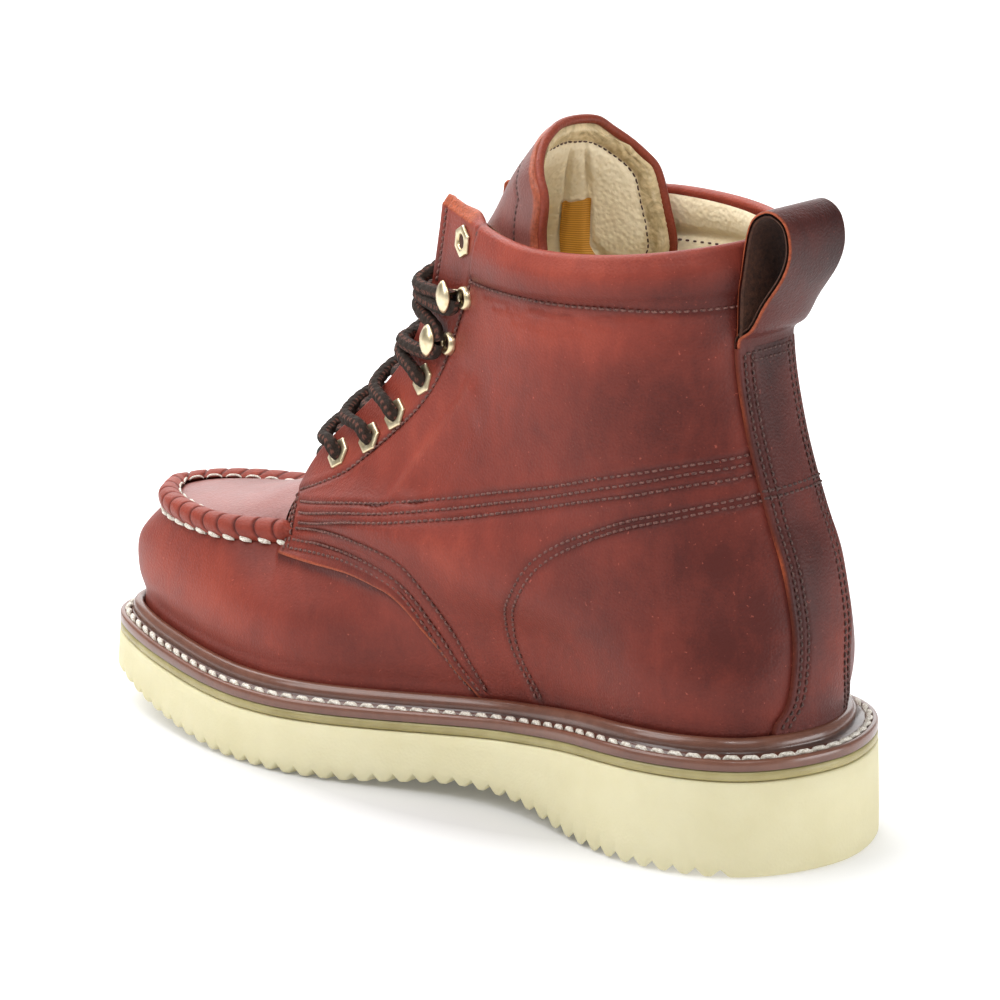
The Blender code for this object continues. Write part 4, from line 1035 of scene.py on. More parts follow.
def add_piece(name, points, faces, paint, slot, nodes=(), weld=False, **values):
    """One smooth mesh on the boot, with a value at each point for the material to read."""
    mesh = bpy.data.meshes.new(name)
    mesh.from_pydata(world(np.reshape(points, (-1, 3))).tolist(), [], np.asarray(faces).tolist())
    for key, numbers in values.items():
        numbers = np.full(len(mesh.vertices), np.ravel(numbers), np.float32)
        mesh.attributes.new(key, "FLOAT", "POINT").data.foreach_set("value", numbers)
    if weld:
        grid = bmesh.new()
        grid.from_mesh(mesh)
        bmesh.ops.remove_doubles(grid, verts=grid.verts, dist=2e-6)
        bmesh.ops.dissolve_degenerate(grid, edges=grid.edges, dist=1e-6)
        grid.to_mesh(mesh)
        grid.free()
    mesh.shade_smooth()
    mesh.materials.append(PAINT[paint])
    made = bpy.data.objects.new(name, mesh)
    bpy.context.scene.collection.objects.link(made)
    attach(made, "root")
    if nodes:
        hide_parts(*nodes)
    return made


def add_sheet(name, grid, paint, slot, nodes=(), flip=False, **values):
    """A piece made of one grid of points."""
    return add_piece(name, grid, grid_faces(*grid.shape[:2], flip=flip), paint, slot, nodes, **values)


def joined(*grids):
    """Points and faces of several (points, faces) as one."""
    points, faces, count = [], [], 0
    for spots, quads in grids:
        spots = np.reshape(spots, (-1, 3))
        points.append(spots)
        faces.append(np.asarray(quads) + count)
        count += len(spots)
    return np.vstack(points), np.vstack(faces)


def unit(vectors):
    """Vectors scaled to a length of one."""
    return vectors / np.maximum(np.linalg.norm(vectors, axis=-1, keepdims=True), 1e-9)


def grid_normals(grid, hand=1):
    """Normals of a grid of points."""
    return hand * unit(np.cross(np.gradient(grid, axis=0), np.gradient(grid, axis=1)))


def distance_to(points, line, reach=9.0):
    """Distance in millimetres of each point from a line, as far as reach."""
    flat = points.reshape(-1, 3)
    found = np.full(len(flat), reach)
    near = np.flatnonzero(((flat > line.min(0) - reach) & (flat < line.max(0) + reach)).all(axis=1))
    for part in np.array_split(near, max(1, len(near) // 4000)):
        gap = ((flat[part][:, None] - line[None]) ** 2).sum(axis=2).min(axis=1)
        found[part] = np.minimum(np.sqrt(gap), reach)
    return found.reshape(points.shape[:-1])


def on_shell(row, hand, count=320):
    """A row of places as an even line on the shell with its normals."""
    line = path(np.array(row) * (U_SCALE, 1), count)
    u, at = np.clip(line[:, 0] / U_SCALE, 0, THROAT - 1e-4) * hand, line[:, 1]
    return shell(u, at), shell_normal(u, at)


def swell(low, high, value):
    """Zero outside low to high and one in the middle."""
    return np.sin(np.pi * np.clip((value - low) / (high - low), 0, 1))


def patch_tone_and_shade(u, at):
    """How light the leather is, from the listed patches."""
    # The patches paint shade and sheen as well as the leather's own mottling.
    tone = np.full(np.shape(u), LEATHER_TONE)
    for p in rows_of(SHADE_AND_MOTTLE_PATCHES):
        aside, above = (np.abs(u) - p["u"]) / p["reach_u"], (at - p["at"]) / p["reach_at"]
        tone = tone + p["gain"] * np.exp(-aside ** 2 - above ** 2)
    return tone


def wobble(points):
    """Slow unevenness of pulled leather, in millimetres."""
    s, x, z = points[..., 0], points[..., 1], points[..., 2]
    slow, middle = 0.16 * np.sin(s / 9.1 + z / 13.0 + x / 11), 0.12 * np.sin(s / 15.0 - z / 8.3)
    return slow + middle + 0.07 * np.sin(z / 5.1 + s / 23.0)


def threads(rows, pitch, share, radius, lift, slant=0.0, sides=6, steps=7, plies=0.0):
    """Stitches along rows of (line, normals): short round bars whose ends dive into the leather."""
    grids = []
    for line, normal in rows:
        run = runs(line)
        count = max(int(round(run[-1] / pitch)), 1)
        t = np.linspace(-0.5, 0.5, steps)
        at = (np.arange(count)[:, None] + 0.5 + t * share) * run[-1] / count
        spot = np.stack([np.interp(at, run, column) for column in line.T], axis=-1)
        out = unit(np.stack([np.interp(at, run, column) for column in normal.T], axis=-1))
        ahead = unit(np.gradient(spot, axis=1))
        aside = unit(np.cross(ahead, out))
        sink = (2 * np.abs(t)) ** 3
        sway = 0.25 * radius * np.sin(np.arange(count) * 12.9898)[:, None]
        spot = spot + out * (lift - 1.9 * radius * sink)[None, :, None]
        spot = spot + aside * (slant * t + sway)[:, :, None]
        angle = circle(sides)
        twist = 1 + 0.16 * plies * np.cos(2 * angle[None] + 9.0 * t[:, None])
        thick = radius * ((1 - 0.25 * sink)[:, None] * twist)[None, :, :, None]
        ring = spot[:, :, None] + thick * (
            aside[:, :, None] * np.cos(angle)[:, None] + out[:, :, None] * np.sin(angle)[:, None])
        starts = np.arange(count) * steps * sides
        quads = np.concatenate([grid_faces(steps, sides, wrap=True, start=start) for start in starts])
        grids.append((ring, quads))
    return joined(*grids)


def add_stitches(name, paint, slot, rows, *sizes, **more):
    """Rows of stitches as one piece."""
    add_piece(name, *threads(rows, *sizes, **more), paint, slot)


def quarter_rows(hand):
    """Every row of stitches on one quarter."""
    rows = [FACING_ROW, CUFF_ROW, BRINK_ROW, *BAND_ROWS, *WING_ROWS, *FRONT_ROWS, *COUNTER_ROWS]
    return [on_shell(row, hand) for row in rows]


def build_quarter(hand, label):
    """One side of the boot from the backstay to the lacing edge, with its wing, cuff and rolled rim."""
    u = np.concatenate([
        np.linspace(0.012, 0.36, 92), np.linspace(0.36, 0.48, 64)[1:], np.linspace(0.48, 0.609, 62)[1:],
        np.linspace(0.609, THROAT, 9)[1:],
    ])
    low = smooth(WING_EDGE["u"], WING_EDGE["at"], u)
    t = np.concatenate([[0, 0.001, 0.0022, 0.004, 0.007, 0.012, 0.018], np.linspace(0.026, 1, 160)])[:, None]
    at = low + (RIM_AT - low) * t
    us = np.broadcast_to(u, at.shape)
    base = shell_grid(us * hand, at)
    normal = grid_normals(base, hand)
    rows = quarter_rows(hand)
    groove = np.full(at.shape, 9.0)
    for line, _ in rows:
        groove = np.minimum(groove, distance_to(base, line))
    lift = wobble(base) - GROOVE_DEPTH * bell(groove, GROOVE_HALF) + 0.16 * bell(groove - 2.1, 1.1)
    behind = 1 - step_up(0.494, 0.503, us)
    lift += behind * CUFF_PUFF * step_up(150.4, 155, at) * (1 - 0.5 * step_up(160, 169, at))
    for c in rows_of(CREASES):
        share = np.linspace(0, 1, 60)[:, None]
        start, end = np.array([[c["u_a"], c["at_a"]]]), np.array([[c["u_b"], c["at_b"]]])
        crease = start * (1 - share) + end * share
        crease[:, 1] += 0.7 * np.sin(share[:, 0] * 9)
        trough, _ = on_shell(crease, hand, 120)
        span = distance_to(base, trough, 4 * c["half"])
        lift -= c["depth"] * bell(span, c["half"])
    wing = distance_to(base, base[0], 6.0)
    bare = np.broadcast_to(step_up(0.37, 0.395, u), at.shape)
    lift += bare * (0.45 * bell(wing, 2.4) - 1.9 * np.clip(1 - wing / 0.42, 0, 1))
    edge = distance_to(base, base[:, -1], 6.0)
    lift -= 2.5 * np.clip(1 - edge / 1.0, 0, 1) ** 2
    skin = base + normal * lift[:, :, None]
    upward = unit(skin[-1] - skin[-3])
    turn = np.linspace(0, np.pi, 11)[1:, None, None]
    half = (RIM_HALF - 0.6 * step_up(0.53, 0.57, u) - 1.25 * np.clip(1 - edge[-1], 0, 1) ** 2)[:, None]
    rim = skin[-1] - normal[-1] * half + half * (normal[-1] * np.cos(turn) + upward * np.sin(turn))
    facing = step_up(0.496, 0.53, u)[None, :, None]
    rim = rim + upward * FACING_RAISE * step_up(0.25 * np.pi, 0.75 * np.pi, turn) * facing
    tail = rim[-1] - upward * np.array([1.5, 3.0, 5.0])[:, None, None]
    skin = np.concatenate([skin, rim, tail])
    extra = len(rim) + len(tail)
    # Painted shade: darker along the stitch grooves and at the foot of the wall by the welt.
    tone = patch_tone_and_shade(us, at) - 0.16 * bell(groove, 1.3) - 0.14 * bell(at - 8, 7)
    # Painted highlight on the upward-facing padded cuff, and painted shade in the crease at its stitch line.
    tone += 0.18 * step_up(155, 164, at) - 0.10 * bell(at - 151, 4)
    tone = np.vstack([tone, np.repeat(tone[-1:] + 0.05, extra, axis=0)])
    raw = bare * np.clip((1.05 - wing) / 0.35, 0, 1) * 0.8 + 0.75 * np.clip(1.2 - edge / 0.7, 0, 1)
    raw = np.vstack([raw, np.repeat(0.95 * step_up(0.515, 0.53, u)[None], extra, axis=0)])
    nodes = ["upper"] if hand > 0 else []
    add_sheet(f"quarter_{label}", skin, "leather", "oxblood_leather", nodes, flip=hand < 0, tone=tone,
              raw=np.clip(raw, 0, 1))
    add_stitches(f"quarter_stitches_{label}", "brown_thread", "oxblood_leather", rows,
                 STITCH_PITCH, STITCH_SHARE, STITCH_RADIUS, 0.02)


def build_vamp():
    """The vamp under the wings and round the toe, up to the moc seam."""
    half = np.concatenate([np.linspace(0.368, THROAT, 84), np.linspace(THROAT, 1, 140)[1:]])
    u = np.concatenate([half, -half[-2::-1]])
    top = np.minimum(smooth(WING_EDGE["u"], WING_EDGE["at"], np.abs(u)) + VAMP_TUCK, SEAM_AT)
    at = top * np.linspace(0, 1, 58)[:, None]
    us = np.broadcast_to(u, at.shape)
    base = shell_grid(us, at)
    normal = grid_normals(base)
    lift = 0.8 * wobble(base) - vamp_recess(us.ravel(), at.ravel(), base.reshape(-1, 3)).reshape(at.shape)
    skin = base + normal * lift[:, :, None]
    # Painted shade: darker at the foot of the wall by the welt and just under the moc roll, and a painted
    # shadow under the wing's edge.
    tone = patch_tone_and_shade(us, at) + 0.06 - 0.08 * bell(at - 7, 6)
    tone -= 0.16 * bell(SEAM_AT - at, 4)
    tone -= 0.34 * bell(top - VAMP_TUCK - at, 1.5) * (np.abs(us) < THROAT)
    add_sheet("vamp", skin, "leather", "oxblood_leather", tone=tone, raw=0)


def seam_line(count):
    """The moc seam from the inner throat round the toe to the outer throat, with its frame."""
    half = np.linspace(THROAT, 1, 300)
    line = np.vstack([seam_rail(half), seam_rail(-half[-2::-1])])[::6]
    under = (line[0] + SEAM_TUCK * unit(line[0] - line[1]), line[-1] + SEAM_TUCK * unit(line[-1] - line[-2]))
    line = path(np.vstack([under[0], line, under[1]]), count)
    ahead = unit(np.gradient(line, axis=0))
    out = unit(np.column_stack([line[:, :2] - PLUG_HEART, np.full(len(line), PLUG_DEEP)]))
    aside = unit(np.cross(ahead, out))
    return line, unit(np.cross(aside, ahead)), aside


def build_plug():
    """The flat toe plug."""
    share = np.linspace(0, 1, 90)
    f = np.linspace(0, 1, 70)
    us, fs = np.meshgrid(THROAT + (1 - THROAT) * share, f, indexing="ij")
    plug = plug_point(us.ravel(), fs.ravel()).reshape(*us.shape, 3)
    plug[..., 2] += 0.6 * wobble(plug)
    tone = 0.46 + 0.10 * np.sin(plug[..., 0] / 17.0) * np.sin(plug[..., 1] / 9.0)
    add_sheet("toe_plug", plug, "plug_leather", "oxblood_leather", weld=True, tone=tone, raw=0)


def build_moc():
    """The puckered roll of the moc seam and its two rows of stitches."""
    count = MOC_STITCHES * 22
    line, out, aside = seam_line(count)
    turn = np.linspace(-1.9, 1.9, 26)
    phase = np.arange(count)[:, None] / count * MOC_STITCHES + 0.16 * turn[None] ** 2 + 0.05 * turn[None]
    off = np.abs(phase - np.round(phase))
    pinch = bell(off, 0.06)
    puff = np.clip(np.sin(np.pi * (phase % 1)), 0, 1) ** 0.5
    end = np.minimum(np.arange(count), np.arange(count)[::-1])[:, None]
    tuck = 0.45 + 0.55 * step_up(0, 16, end)
    wide = MOC_HALF * (0.97 + 0.04 * puff - 0.08 * pinch) * tuck
    tall = RIDGE_RISE * (0.96 + 0.07 * puff - 0.15 * pinch) * tuck
    roll = line[:, None] + aside[:, None] * (wide * np.sin(turn))[:, :, None]
    roll = roll + out[:, None] * (tall * np.cos(turn))[:, :, None]
    # Painted highlight on each puff and painted shade in each pinch.
    tone = 0.46 + 0.10 * puff - 0.42 * pinch
    add_sheet("moc_roll", roll, "leather", "oxblood_leather", flip=True, tone=tone, raw=0)
    pitch = run_of(line) / MOC_STITCHES
    outer_row = (line - aside * MOC_FOOT - out * 0.5, unit(out - aside * 0.7))
    add_stitches("moc_stitches", "cream_thread", "lace_cord", [outer_row], pitch, 0.68, 0.84, 0.50,
                 slant=0.9, sides=8, steps=9, plies=0.6)
    inner_row = (line + aside * MOC_FOOT - out * 0.9, unit(out + aside * 0.7))
    add_stitches("plug_stitches", "cream_thread", "lace_cord", [inner_row], pitch, 0.80, 0.42, 0.12,
                 slant=0.3, sides=8, steps=9)


def build_lining():
    """Cream leather inside: the quarters' lining with a padded roll under the rim."""
    u = np.linspace(-THROAT + 0.002, THROAT - 0.002, 190)
    at = np.concatenate([np.linspace(8, 130, 46), np.linspace(131, 168.5, 44)])[:, None] * np.ones(len(u))
    us = np.broadcast_to(u, at.shape)
    base = shell_grid(us, at)
    depth = smooth(THICKNESS["at"], THICKNESS["thick"], at) + 2.6 * swell(LINING_SEAM, 172, at) ** 0.6
    depth += 1.0 * swell(120, LINING_SEAM, at) ** 0.5 - 1.4 * bell(at - LINING_SEAM, 1.0)
    depth = np.where(np.abs(us) > 0.56, np.minimum(depth, 3.4), depth)
    skin = base - grid_normals(base) * depth[:, :, None]
    padding = add_sheet("lining", skin, "lining", "lining_leather", flip=True, border=0)
    row = np.array([(a, LINING_SEAM - 1.6) for a in np.linspace(-0.55, 0.55, 40)])
    spot = shell(row[:, 0], row[:, 1])
    inward = -shell_normal(row[:, 0], row[:, 1])
    add_stitches("lining_stitches", "dark_thread", "lining_leather", [(spot + inward * 4.2, inward)],
                 3.0, 0.8, 0.4, 0.1)


def strip_share(count):
    """Places across a strip from -1 to 1, closer together at its edges."""
    even = np.linspace(-1, 1, count)
    return np.sin(even * np.pi / 2) * 0.35 + even * 0.65


def cut_edge(inset, half=0.6):
    """Share of full thickness near a cut edge."""
    return 1 - (1 - np.clip(inset / half, 0, 1)) ** 3


def over_backstay(heights, across, lift):
    """A line over the backstay with its normals."""
    u = on_back(heights, across)
    normal = shell_normal(u, heights)
    return shell(u, heights) + normal * (BACKSTAY_THICK + lift), normal


def build_backstay():
    """The strip up the back of the heel, with a raw edge and two rows of stitches on each side."""
    share = np.unique(np.concatenate([[-1, -0.985], strip_share(61)[1:-1], [0.985, 1]]))
    at, w = np.meshgrid(np.linspace(7.5, 136, 150), share, indexing="ij")
    half = smooth(BACKSTAY["at"], BACKSTAY["half"], at.ravel())
    u = on_back(at.ravel(), half * w.ravel())
    base = shell(u, at.ravel()).reshape(*at.shape, 3)
    half = half.reshape(at.shape)
    normal = grid_normals(base)
    inset = half * (1 - np.abs(w))
    rows = np.minimum(*(np.abs(inset - row) for row in BACKSTAY_ROWS))
    lift = 0.25 + BACKSTAY_THICK * cut_edge(inset) + 0.5 * wobble(base) - 0.4 * bell(rows, 0.8)
    skin = base + normal * lift[:, :, None]
    tone = 0.36 + 0.20 * np.sin(at / 17.0 + w * 2.0) * np.sin(at / 29.0)
    tone += 0.14 * np.exp(-((at - 24) / 12) ** 2 - ((w + 0.5) / 0.3) ** 2)
    tone += 0.22 * np.exp(-((at - 84) / 10) ** 2 - ((w + 0.2) / 0.5) ** 2)
    flare = 0.22 + 0.75 * bell(at - 66, 7) + 0.4 * bell(at - 118, 9)
    raw = flare * np.clip(1.2 - inset / 0.34, 0, 1)
    add_sheet("backstay_strip", skin, "dark_leather", "oxblood_leather", ["backstay"], tone=tone, raw=raw)
    stitched = []
    heights = np.linspace(9.5, 134.4, 260)
    widths = smooth(BACKSTAY["at"], BACKSTAY["half"], heights)
    for hand in (-1, 1):
        for inset in BACKSTAY_ROWS:
            stitched.append(over_backstay(heights, hand * (widths - inset), 0.15))
    for height, half in BACKSTAY_BARS:
        stitched.append(over_backstay(np.full(60, height), np.linspace(-half, half, 60), 0.3))
    add_stitches("backstay_stitches", "dark_thread", "oxblood_leather", stitched,
                 STITCH_PITCH, STITCH_SHARE, STITCH_RADIUS, 0.05)


def build_loop():
    """The finger loop: the same strip folded over, dark outside, suede inside, raw at its edges."""
    rise = np.array([128.0, 133.5, 139.0])
    start = shell(np.zeros(3), rise)[:, [0, 2]] - np.column_stack([(0.0, 0.75, 1.6), np.zeros(3)])
    line = path(np.vstack([start, LOOP_PATH[1:]]), 190)
    ahead = unit(np.gradient(line, axis=0))
    aside = np.column_stack([-ahead[:, 1], ahead[:, 0]])
    share = np.unique(np.concatenate([[-1, -0.99, -0.97, 0.97, 0.99, 1], strip_share(35)]))
    inset = LOOP_HALF * (1 - np.abs(share))
    thick = LOOP_THICK * 0.55 * (0.35 + 0.65 * cut_edge(inset, 0.5))
    middle = float(shell(np.zeros(1), np.array([LOOP_LEVEL]))[0, 1])
    run = np.linspace(0, 1, len(line))[:, None]
    hug = 1 - step_up(0.22, 0.42, run) + step_up(0.72, 0.9, run)
    level = np.full(len(share), LOOP_LEVEL)
    recede = shell(on_back(level, LOOP_HALF * share), level)[:, 0] - shell(np.zeros(1), level[:1])[0, 0]
    raw = np.broadcast_to(0.9 * np.clip(1.3 - inset / 0.45, 0, 1), (len(line), len(share)))
    for sign in (-1, 1):
        grid = np.empty((len(line), len(share), 3))
        grid[..., 0] = line[:, None, 0] + sign * aside[:, None, 0] * thick + hug * recede
        grid[..., 2] = line[:, None, 1] + sign * aside[:, None, 1] * thick
        grid[..., 1] = middle + LOOP_HALF * share
        outside = grid[len(line) // 3, len(share) // 2, 0] < line[len(line) // 3, 0]
        tone = 0.26 + 0.12 * np.sin(run * 11) + 0.05 * share[None]
        if outside:
            add_sheet("loop_outside", grid, "dark_leather", "oxblood_leather", ["pull_loop"],
                      tone=tone, raw=raw)
        else:
            add_sheet("loop_inside", grid, "suede", "oxblood_leather", flip=True)


def edge_insets(face):
    """Distance of each point of the tongue from its two sides and its top."""
    outline = path(np.vstack([face[:-1, 0], face[-1], face[:-1, -1][::-1]]), 900)
    return np.array([np.linalg.norm(row[:, None] - outline[None], axis=2).min(axis=1) for row in face])


def round_corners(face, w):
    """The tongue's face with its two upper corners rounded."""
    centre = face[:, len(w) // 2]
    down = runs(centre[::-1])[::-1]
    narrow = 1 - 0.45 * (1 - np.sqrt(1 - (1 - np.clip(down / TONGUE_ROUND, 0, 1)) ** 2))
    rows = [[np.interp(w * n, w, column) for column in row.T] for row, n in zip(face, narrow)]
    return np.array(rows).transpose(0, 2, 1)


def widened(face, w):
    """The tongue's face with its flanks reaching further back inside the collar."""
    up = face[..., 2]
    for edge, pivot, fade in ((0, 12, 204), (-1, -13, 190)):
        grow = FLANK_GROWTH * step_up(130, 165, up) * (1 - step_up(168, fade, up))
        ahead = unit(face[:, edge] - face[:, pivot])
        share = np.clip((w / w[edge] - w[pivot] / w[edge]) / (1 - w[pivot] / w[edge]), 0, 1) ** 1.5
        face = face + (share * grow)[:, :, None] * ahead[:, None]
    return face


def build_tongue():
    """The tongue: leather outside, and inside a cream lining with two channels in a beige binding."""
    w = strip_share(101)
    face, thick = tongue_face(180, w)
    face = widened(round_corners(face, w), w)
    calm = np.clip((len(face) - 6 - np.arange(len(face))) / 8, 0, 1)[1:-1, None, None]
    for _ in range(30):
        face[1:-1] += calm * (face[:-2] - 2 * face[1:-1] + face[2:]) / 4
    normal = grid_normals(face)
    normal *= np.sign(normal[90, 50, 0])
    inset = edge_insets(face)
    full = cut_edge(inset, 2.2)
    stitch = np.abs(inset - TONGUE_STITCH)
    half = thick[:, None] / 2
    sunk = half * (1 - full) - 0.25 * wobble(face) + 0.35 * bell(stitch, 0.9)
    outside = face - normal * sunk[:, :, None]
    lean = TONGUE_LEAN * (len(face) - np.arange(len(face)))[:, None]
    channel = sum(bell(w[None] + lean + place, CHANNEL_HALF) for place in TONGUE_CHANNELS)
    channel = channel * np.clip((inset - BINDING - 0.5) / 5, 0, 1)
    binding = np.clip((inset - 2.2) / 0.5, 0, 1) * np.clip((BINDING - inset) / 0.5, 0, 1)
    seam = bell(inset - BINDING, 0.9)
    across, up = face[..., 1], face[..., 2]
    rumple = 0.35 * np.sin(inset * 1.3 + 5 * np.sin(across / 4.1)) * np.sin(up / 2.3 + across / 3.0)
    inward = half * (1 + full) + 1.6 * np.clip((inset - BINDING) / 7, 0, 1) ** 0.7
    inward = inward - 1.7 * channel - 0.7 * seam + binding * rumple
    inside = face - normal * inward[:, :, None]
    # Painted shade along the stitch groove.
    tone = 0.42 + 0.15 * np.sin(face[..., 2] / 13.0) - 0.15 * bell(stitch, 1.3)
    raw = 0.8 * np.clip((2.8 - inset) / 0.6, 0, 1)
    flip = normal[90, 50] @ np.cross(face[91, 50] - face[90, 50], face[90, 51] - face[90, 50]) < 0
    border = np.clip(binding + 1.2 * np.clip((2.4 - inset) / 0.5, 0, 1), 0, 1)
    add_sheet("tongue_leather", outside, "tongue_leather", "oxblood_leather", ["tongue"], flip=flip,
              tone=tone, raw=raw)
    padding = add_sheet("tongue_lining", inside, "lining", "lining_leather", flip=not flip, border=border)
    rows = [edge_line(outside, normal, inset, TONGUE_STITCH), edge_line(inside, -normal, inset, BINDING)]
    add_stitches("tongue_stitches", "dark_thread", "oxblood_leather", rows, 2.2, 0.9, 0.30, 0.05)
    build_label(inside, -normal)
    edge = (outside + inside) / 2
    outline = np.vstack([edge[TONGUE_FOOT:-1, 0], edge[-1], edge[TONGUE_FOOT:-1, -1][::-1]])
    outline = path(outline[::3], 260)
    for _ in range(12):
        outline[1:-1] = (outline[:-2] + 2 * outline[1:-1] + outline[2:]) / 4
    rings, faces = tube(outline, np.full(260, TONGUE_RIM))
    add_piece("tongue_rim", rings, faces, "leather", "oxblood_leather", tone=0.30, raw=0.25)


def grid_at(grid, row, column):
    """A grid's value at a place between its points."""
    r, c = min(int(row), len(grid) - 2), min(int(column), grid.shape[1] - 2)
    a, b = row - r, column - c
    left, right = (grid[r, k] * (1 - a) + grid[r + 1, k] * a for k in (c, c + 1))
    return left * (1 - b) + right * b


def edge_line(sheet, normal, inset, depth):
    """A line on the tongue at an even distance from its edge, from one flank over the top to the other."""
    both = np.concatenate([sheet, normal], axis=2)
    middle = sheet.shape[1] // 2
    reach = np.linspace(0, 1, 160)
    places = []
    for angle in np.linspace(-0.4, np.pi + 0.4, 80):
        rows = TONGUE_HEART + math.sin(angle) * reach * (len(sheet) - 1 - TONGUE_HEART)
        columns = middle - math.cos(angle) * reach * middle
        insets = np.array([grid_at(inset, r, c) for r, c in zip(rows, columns)])
        k = int(np.argmax(insets < depth))
        share = (insets[k - 1] - depth) / (insets[k - 1] - insets[k])
        places.append(grid_at(both, rows[k - 1] + (rows[k] - rows[k - 1]) * share,
                              columns[k - 1] + (columns[k] - columns[k - 1]) * share))
    places = np.array(places)
    line = path(places[:, :3], 500)
    nearest = np.linalg.norm(line[:, None] - places[None, :, :3], axis=2).argmin(axis=1)
    return line, unit(places[nearest, 3:])


def build_label(sheet, normal):
    """A plain woven label sewn to the tongue's lining."""
    lifted = sheet + normal * 0.8
    w = strip_share(sheet.shape[1])
    foot, top = LABEL_ROWS
    patch = []
    for row in range(foot, top):
        share = (row - foot) / (top - foot)
        left, right = (a + (b - a) * share for a, b in zip(LABEL_FOOT, LABEL_TOP))
        columns = np.interp(np.linspace(left, right, 14), w, np.arange(len(w)))
        patch.append([grid_at(lifted, row, column) for column in columns])
    patch = np.array(patch)
    add_sheet("tongue_label", patch, "label", "lining_leather", flip=True)


# Welt, sole and insole

def round_sole(inset_of):
    """Points round the sole for each of a list of (inset, rise) rules."""
    spot = outline_at(ROUND_FOOT)
    columns = []
    for inset, rise in inset_of(side("reach", spot[:, 0])):
        plan = spot[:, :2] - spot[:, 2:] * np.reshape(inset, (-1, 1))
        columns.append(np.column_stack([plan, side("top", plan[:, 0]) + rise]))
    return np.stack(columns)


def build_welt():
    """Storm welt: lip, grooved flat with two-ply stitches, and a rounded bead against the upper."""
    def shape(reach):
        rows = [(r["inset"], r["rise"]) for r in rows_of(WELT_SHAPE)]
        return rows + [(reach - r["inset"], r["rise"]) for r in rows_of(BEAD_SHAPE)]
    band = round_sole(shape)
    tones = np.concatenate([WELT_SHAPE["tone"], BEAD_SHAPE["tone"]])
    tone = np.broadcast_to(tones[:, None], band.shape[:2])
    faces = grid_faces(*band.shape[:2], wrap=True)
    add_piece("welt_band", band, faces, "welt", "brown_welt", ["welt"], tone=tone)
    row = round_sole(lambda reach: [WELT_STITCH])[0]
    row = np.vstack([row, row[:1]])
    up = np.broadcast_to(np.array([0.0, 0.0, 1.0]), row.shape)
    add_stitches("welt_stitches", "cream_thread", "lace_cord", [(row, up)], WELT_PITCH, 1.06, 0.92, 0.30,
                 slant=1.5, sides=10, steps=12, plies=1.0)


def slab(layers, along):
    """A layer of the sole as sections across the boot: each layer is (offsets, heights)."""
    share = (along - along[0]) / (along[-1] - along[0])
    inner, outer = [], []
    for offsets, up in layers:
        low, high = span_along(offsets)
        place = low + (high - low) * share
        inner.append(np.column_stack([place, half_width(1, offsets[1], place), up]))
        outer.append(np.column_stack([place, half_width(-1, offsets[-1], place), up]))
    rings = np.stack(inner + outer[::-1], axis=1)
    return rings, grid_faces(*rings.shape[:2], wrap=True)


def moved(offset):
    """The same offset all round the outline."""
    return {sign: np.full(len(index), float(offset)) for sign, index in SIDE_INDEX.items()}


def stations(low, high, count):
    """Places of sections from one end of the sole to the other."""
    middle = np.linspace(low + 15, high - 15, count)
    return np.concatenate([low + END_STEPS, middle, (high - END_STEPS)[::-1]])


def build_foam():
    """Foam wedge with a toothed tread."""
    ribs = np.arange(RIB_START, BOOT_LENGTH - RIB_START, RIB_PITCH)
    notch = (RIB_PITCH - RIB_FLAT) / 2
    middle = (ribs[:, None] + RIB_STEPS).ravel()
    along = np.concatenate([END_STEPS - SOLE_FLARE, middle, (BOOT_LENGTH + SOLE_FLARE - END_STEPS)[::-1]])
    phase = np.abs((along - RIB_START) % RIB_PITCH - RIB_FLAT - notch) / notch
    inside = (along > RIB_START) & (along < ribs[-1] + RIB_PITCH)
    cut = np.where(inside, 1.15 * RIB_DEPTH * np.clip(1 - phase, 0, 1), 0)
    floor = side("bottom", along)
    under = floor + cut
    over = side("top", along) - MIDSOLE_THICK - GAP
    layers = [(moved(-10), under), (moved(SOLE_FLARE - 1.2), under), (moved(SOLE_FLARE - 0.35), under + 0.2),
              (moved(SOLE_FLARE), under + 0.9)]
    for share, offset in ((0.25, 0.95), (0.5, 0.75), (0.75, 0.5)):
        layers.append((moved(offset), floor + (over - floor) * share + cut * (1 - share)))
    layers += [(moved(0.3), over - 0.7), (moved(-0.1), over - 0.1), (moved(-1.0), over), (moved(-10), over)]
    add_piece("foam_sole", *slab(layers, along), "foam", "cream_foam", ["outsole"])


def build_midsole():
    """The olive layer between the foam and the welt."""
    along = stations(0, BOOT_LENGTH, 150)
    over = side("top", along)
    low = over - MIDSOLE_THICK
    layers = [(moved(-10), low), (moved(-0.6), low), (moved(0.0), low + 0.5),
              (moved(0.15), over - 1.6), (moved(0.0), over - 0.4), (moved(-0.6), over), (moved(-10), over)]
    add_piece("olive_layer", *slab(layers, along), "olive", "olive_rubber", ["midsole"])


def build_insole():
    """The board inside the boot."""
    inset = reach_of(WALL + 0.8)
    low, high = span_along(inset)
    along = stations(low, high, 80)
    base = side("top", along) + GAP
    deep = {sign: values - 1.2 for sign, values in inset.items()}
    far = {sign: values - 12 for sign, values in inset.items()}
    top = base + INSOLE_THICK
    layers = [(far, base), (inset, base), (inset, top - 1.0), (deep, top), (far, top)]
    add_piece("footbed", *slab(layers, along), "lining", "lining_leather", ["insole"], border=0)


# Eyelets, hooks and lace

